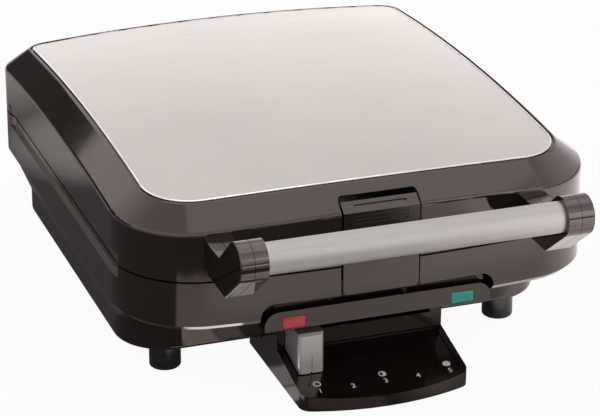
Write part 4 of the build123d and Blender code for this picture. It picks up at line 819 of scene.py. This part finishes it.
@dataclass
class IndicatorLenses:
    """The two indicator lenses in the strip above the control tongue."""

    finishes: Finishes
    bevel: float = 0.7 * MM
    bevel_faces: int = 4
    bevel_profile: float = 0.5
    flange: float = 1.2 * MM
    flange_depth: float = 1.5 * MM
    ribs: int = 9
    rib_share: float = 0.55
    rib_depth: float = 0.5 * MM
    rib_sink: float = 0.05 * MM
    rib_margin: float = 1.05 * MM

    def face_corners(self, node: str) -> tuple[Vector, Vector]:
        """Finds the face of a lens, without the flange that lies hidden.

        Args:
            node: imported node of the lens.

        Returns:
            The face's lowest and highest corner.
        """
        low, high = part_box(node)
        return (Vector((low.x + self.flange, low.y, low.z)),
                Vector((high.x - self.flange, high.y - self.flange_depth, high.z - self.flange)))

    def add_ribs(self, piece: bpy.types.Object, low: Vector, high: Vector) -> None:
        """Adds fine upright ribs to the face of a lens.

        Args:
            piece: the lens.
            low: lowest corner of its face.
            high: highest corner of its face.
        """
        mesh = bmesh.new()
        mesh.from_mesh(piece.data)
        width = (high.x - low.x - 2 * self.bevel) / self.ribs
        height = high.z - low.z - 2 * self.rib_margin
        for rib in range(self.ribs):
            middle = Vector((low.x + self.bevel + (rib + 0.5) * width, low.y + self.rib_sink,
                             (high.z + low.z) / 2))
            half = Vector((self.rib_share * width, self.rib_depth, height)) / 2
            MeshTools.block(mesh, middle - half, middle + half)
        mesh.to_mesh(piece.data)
        mesh.free()

    def lens(self, node: str, slot: str, ribbed: bool) -> bpy.types.Object:
        """A lens with rounded edges.

        Args:
            node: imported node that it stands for.
            slot: record slot of its finish.
            ribbed: whether its face has ribs.

        Returns:
            The lens.
        """
        low, high = self.face_corners(node)
        mesh = bmesh.new()
        MeshTools.block(mesh, low, high)
        bmesh.ops.bevel(mesh, geom=list(mesh.edges), offset=self.bevel, segments=self.bevel_faces,
                        profile=self.bevel_profile, affect="EDGES")
        piece = MeshTools.to_object(f"{node}_face", mesh, self.finishes.by_slot[slot])
        if ribbed:
            self.add_ribs(piece, low, high)
        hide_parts(node)
        return piece

    def build(self) -> list[bpy.types.Object]:
        """Makes both lenses.

        Returns:
            The lenses, which ride on the base.
        """
        pieces = [self.lens("power_lens", "red_lens", False),
                  self.lens("ready_lens", "green_lens", True)]
        for piece in pieces:
            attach(piece, "base")
            LOG.info("built %s", piece.name)
        return pieces


@dataclass(frozen=True)
class Patch:
    """A rectangle of light on the floor with soft edges."""

    left: float
    right: float
    front: float
    rear: float
    level: float
    soft: float = 0.003

    def light(self, shader: Shader, x: Socket, y: Socket) -> Socket:
        """How bright the patch is at a point of the floor.

        Args:
            shader: the floor's material.
            x: place from left to right.
            y: place from front to rear.

        Returns:
            The brightness, where 1 is white.
        """
        edges = []
        for value, edge, low, high in ((x, self.left, 0.0, self.level), (x, self.right, 1.0, 0.0),
                                       (y, self.front, 0.0, 1.0), (y, self.rear, 1.0, 0.0)):
            ramp = Ramp(edge - self.soft, edge + self.soft, low, high)
            edges.append(ramp.over(shader, value))
        return shader.product(*edges)


@dataclass(frozen=True)
class FloorLight:
    """How bright the floor is in reflections: pools of light ahead, beside and farther off.

    The ramps run over places on the floor, along X, along Y or along a slant of both.
    """

    dark: float = 0.08
    # Pool ahead: far edge and its cut corner, near edge, left edge, right side and level
    ahead_far: Ramp = Ramp(-0.342, -0.33)
    ahead_far_corner: Ramp = Ramp(-0.43, -0.415)
    far_corner_slant: float = 0.53
    ahead_near: Ramp = Ramp(-0.215, -0.195, 1.0, 0.0)
    ahead_left: Ramp = Ramp(-0.053, -0.037)
    left_slant: float = -0.73
    ahead_open_right: Ramp = Ramp(0.13, 0.2)
    ahead_level: Ramp = Ramp(0.05, 0.3, 0.85, 1.4, False)
    lift_by_side: Ramp = Ramp(-0.15, -0.06, 1.0, 1.4, False)
    lift_range: tuple[float, float] = (-0.3, -0.265)
    # Strip under the front edge of the body
    strip_front: Ramp = Ramp(-0.127, -0.117)
    strip_rear: Ramp = Ramp(-0.1, -0.085, 1.4, 0.0)
    strip_left: Ramp = Ramp(-0.045, -0.03, soft=False)
    # Round spot behind and to the left
    spot_middle: Triple = (-0.27, 0.31, 0.0)
    spot_edge: Ramp = Ramp(0.05, 0.12, 0.5, 0.0)
    # Floor to the right
    right_edge: Ramp = Ramp(0.09, 0.15)
    right_level: Ramp = Ramp(0.2, 0.38, 1.1, 2.1, False)
    # Floor far to the left, behind and far ahead
    far_left: Ramp = Ramp(-0.52, -0.42, 0.5, 0.0)
    behind: Ramp = Ramp(0.3, 0.5, 0.0, 0.55)
    far_front: Ramp = Ramp(-0.56, -0.48, 0.5, 0.0)
    # Patches that single edges and corners mirror
    patches: tuple[Patch, ...] = (
        Patch(-0.118, -0.07, -0.117, -0.1065, 3.2, 0.0025),
        Patch(-0.094, -0.07, -0.16, -0.119, 1.3),
        Patch(-0.07, -0.05, -0.14, -0.121, 0.65),
        Patch(-0.07, -0.045, -0.121, -0.092, 0.45, 0.005),
        Patch(-0.065, 0.0, -0.2, -0.166, 0.25, 0.006),
        Patch(0.02, 0.1, -0.2, -0.166, 0.75, 0.03),
    )

    def ahead(self, shader: Shader, x: Socket, y: Socket) -> Socket:
        """The pool ahead, which the front walls mirror.

        Args:
            shader: the floor's material.
            x: place from left to right.
            y: place from front to rear.

        Returns:
            The brightness, where 1 is white.
        """
        corner = shader.combine(shader.product(x, self.far_corner_slant), y)
        side = shader.combine(x, shader.product(y, self.left_slant))
        far = shader.product(self.ahead_far.over(shader, y),
                             self.ahead_far_corner.over(shader, corner))
        lift = shader.span(y, self.lift_by_side.over(shader, x), 1.0, *self.lift_range)
        return shader.product(shader.greatest(far, self.ahead_open_right.over(shader, x)),
                              self.ahead_near.over(shader, y), self.ahead_left.over(shader, side),
                              self.ahead_level.over(shader, x), lift)

    def light(self, shader: Shader) -> Socket:
        """The whole floor's brightness.

        Args:
            shader: the floor's material.

        Returns:
            The brightness, where 1 is white.
        """
        axes = shader.add("ShaderNodeSeparateXYZ")
        shader.link(shader.place, axes.inputs[0])
        x, y = axes.outputs["X"], axes.outputs["Y"]
        distance = shader.add("ShaderNodeVectorMath", operation="DISTANCE")
        shader.link(shader.place, distance.inputs[0])
        distance.inputs[1].default_value = self.spot_middle
        strip = shader.product(self.strip_front.over(shader, y), self.strip_rear.over(shader, y),
                               self.strip_left.over(shader, x))
        right = shader.product(self.right_edge.over(shader, x), self.right_level.over(shader, x))
        return shader.greatest(self.ahead(shader, x, y), self.dark, strip,
                               self.spot_edge.over(shader, distance.outputs["Value"]), right,
                               self.far_left.over(shader, x), self.behind.over(shader, y),
                               self.far_front.over(shader, y),
                               *(patch.light(shader, x, y) for patch in self.patches))


@dataclass
class Floor:
    """The floor: white to the camera, with the object's shadow kept."""

    size: float = 8.0
    glow_share: float = 0.95
    roughness: float = 0.7
    grain: Mottle = Mottle(30.0)
    grain_range: tuple[float, float] = (0.82, 0.84)
    light: FloorLight = FloorLight()

    def build(self) -> bpy.types.Object:
        """Makes the floor.

        Returns:
            The floor.
        """
        shader = Shader("pale_floor")
        grey = self.grain.spread(shader, *self.grain_range)
        colour = shader.add("ShaderNodeCombineColor")
        for channel in ("Red", "Green", "Blue"):
            shader.link(grey, colour.inputs[channel])
        shader.set(Base_Color=colour.outputs["Color"], Roughness=self.roughness)
        glow = shader.add("ShaderNodeEmission")
        mirrored = shader.mirrored()
        strength = shader.span(mirrored, 1.0, self.light.light(shader), 0.0, 1.0)
        shader.link(strength, glow.inputs["Strength"])
        shader.link(shader.blend(mirrored, WHITE, WARM_WHITE), glow.inputs["Color"])
        mix = shader.add("ShaderNodeMixShader")
        shader.link(shader.product(shader.seen(), self.glow_share), mix.inputs[0])
        shader.link(shader.principled.outputs["BSDF"], mix.inputs[1])
        shader.link(glow.outputs["Emission"], mix.inputs[2])
        shader.link(mix.outputs["Shader"], shader.output.inputs["Surface"])
        mesh = bmesh.new()
        bmesh.ops.create_grid(mesh, x_segments=1, y_segments=1, size=self.size / 2)
        piece = MeshTools.to_object("floor", mesh, shader.material)
        return piece


@dataclass(frozen=True)
class SkyPatch:
    """A round patch of the surround: its middle, and the angles in degrees where it fades."""

    side: Triple
    whole: float
    gone: float

    def share(self, sheet: NodeSheet) -> Socket:
        """Share of the patch in a direction.

        Args:
            sheet: the world's nodes.

        Returns:
            The share, from 0 to 1.
        """
        node = sheet.add("ShaderNodeVectorMath", operation="DOT_PRODUCT")
        sheet.link(sheet.add("ShaderNodeTexCoord").outputs["Generated"], node.inputs[0])
        node.inputs[1].default_value = Vector(self.side).normalized()
        edge = Ramp(math.cos(math.radians(self.gone)), math.cos(math.radians(self.whole)))
        return edge.over(sheet, node.outputs["Value"])


@dataclass
class Surround:
    """The world: white where it is seen, bright and dark in reflections, dimmer as a lamp."""

    ambient: float = 0.55
    # Level in reflections, from the horizon up to the zenith
    horizon: float = 0.4
    rise_range: tuple[float, float] = (0.05, 0.3)
    zenith: Ramp = Ramp(0.6, 0.9, 1.25, 0.9)
    # Dark patch behind to the left, below a sharp upper edge
    dark_level: float = 0.08
    dark_top: Ramp = Ramp(0.35, 0.364, 1.0, 0.0)
    dark_patch: SkyPatch = SkyPatch((-0.45, 0.85, 0.1), 40.0, 55.0)
    # Bright patch behind to the right
    bright_level: Ramp = Ramp(0.12, 0.5, 1.5, 0.85, False)
    bright_patch: SkyPatch = SkyPatch((0.45, 0.85, 0.3), 22.0, 36.0)

    def reflected(self, sheet: NodeSheet) -> Socket:
        """How bright the world is in reflections.

        Args:
            sheet: the world's nodes.

        Returns:
            The brightness, where 1 is white.
        """
        axes = sheet.add("ShaderNodeSeparateXYZ")
        sheet.link(sheet.add("ShaderNodeTexCoord").outputs["Generated"], axes.inputs[0])
        height = axes.outputs["Z"]
        plain = sheet.span(height, self.horizon, self.zenith.over(sheet, height),
                           *self.rise_range, True)
        dark = sheet.product(self.dark_patch.share(sheet), self.dark_top.over(sheet, height))
        darker = sheet.span(dark, plain, self.dark_level, 0.0, 1.0)
        bright = self.bright_level.over(sheet, height)
        return sheet.span(self.bright_patch.share(sheet), darker, bright, 0.0, 1.0)

    def build(self) -> None:
        """Makes the world."""
        world = bpy.data.worlds.new("surround")
        world.use_nodes = True
        bpy.context.scene.world = world
        sheet = NodeSheet(world.node_tree)
        output = sheet.add("ShaderNodeOutputWorld")
        background = sheet.add("ShaderNodeBackground")
        mirrored = sheet.mirrored()
        shown = sheet.span(mirrored, 1.0, self.reflected(sheet), 0.0, 1.0)
        strength = sheet.span(sheet.seen(), self.ambient, shown, 0.0, 1.0)
        sheet.link(strength, background.inputs["Strength"])
        sheet.link(sheet.blend(mirrored, WHITE, WARM_WHITE), background.inputs["Color"])
        sheet.link(background.outputs["Background"], output.inputs["Surface"])


@dataclass(frozen=True)
class Lamp:
    """A soft rectangular lamp, whose radiance is how bright its face looks, where 1 is white."""

    name: str
    position: Triple
    size: tuple[float, float]
    radiance: float
    aim: Triple = (0.0, 0.0, 0.1)

    def build(self) -> None:
        """Hangs the lamp."""
        data = bpy.data.lights.new(self.name, "AREA")
        data.shape = "RECTANGLE"
        data.size, data.size_y = self.size
        data.energy = self.radiance * math.pi * self.size[0] * self.size[1]
        piece = bpy.data.objects.new(self.name, data)
        turn = (Vector(self.aim) - Vector(self.position)).to_track_quat("-Z", "Y")
        piece.matrix_world = Matrix.Translation(self.position) @ turn.to_matrix().to_4x4()
        bpy.context.scene.collection.objects.link(piece)


@dataclass
class Viewpoint:
    """The camera at the photograph's viewpoint, with its angles in degrees."""

    focal_length: float = 155.05
    sensor: float = 36.0
    position: Triple = (-520.2 * MM, -1459.24 * MM, 730.0 * MM)
    azimuth: float = -19.62
    elevation: float = 23.28
    roll: float = 0.23
    clip_end: float = 50.0

    def build(self) -> bpy.types.Object:
        """Makes the camera.

        Returns:
            The camera.
        """
        turn = math.radians(self.azimuth)
        lift = math.radians(self.elevation)
        lean = math.radians(self.roll)
        right = Vector((math.cos(turn), math.sin(turn), 0.0))
        back = Vector((math.sin(turn) * math.cos(lift), -math.cos(turn) * math.cos(lift),
                       math.sin(lift)))
        up = back.cross(right)
        leaned_right = math.cos(lean) * right + math.sin(lean) * up
        leaned_up = math.cos(lean) * up - math.sin(lean) * right
        data = bpy.data.cameras.new("camera")
        data.lens = self.focal_length
        data.sensor_width = self.sensor
        data.sensor_fit = "HORIZONTAL"
        data.clip_end = self.clip_end
        piece = bpy.data.objects.new("camera", data)
        rotation = Matrix((leaned_right, leaned_up, back)).transposed().to_4x4()
        piece.matrix_world = Matrix.Translation(self.position) @ rotation
        bpy.context.scene.collection.objects.link(piece)
        bpy.context.scene.camera = piece
        return piece


@dataclass
class Studio:
    """Camera, floor, surround and lamps."""

    lamps: tuple[Lamp, ...] = (Lamp("top_softbox", (0.15, 0.1, 1.5), (1.5, 1.3), 0.55),
                               Lamp("front_softbox", (0.9, -1.6, 0.7), (1.0, 0.8), 1.0))

    def build(self) -> None:
        """Makes the whole studio."""
        bpy.context.scene.view_settings.view_transform = "Standard"
        for part in (Viewpoint(), Floor(), Surround(), *self.lamps):
            part.build()
        LOG.info("built the studio")


def main() -> None:
    """Builds the looks in order."""
    logging.basicConfig(level=logging.INFO, format="%(name)s: %(message)s")
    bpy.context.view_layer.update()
    Studio().build()
    finishes = Finishes()
    finishes.dress_nodes()
    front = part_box("console_housing")[0].y + TONGUE_REACH
    LidPlate(finishes).build()
    ControlTongue(finishes).build(front)
    IndicatorLenses(finishes).build()


if __name__ == "__main__":
    main()
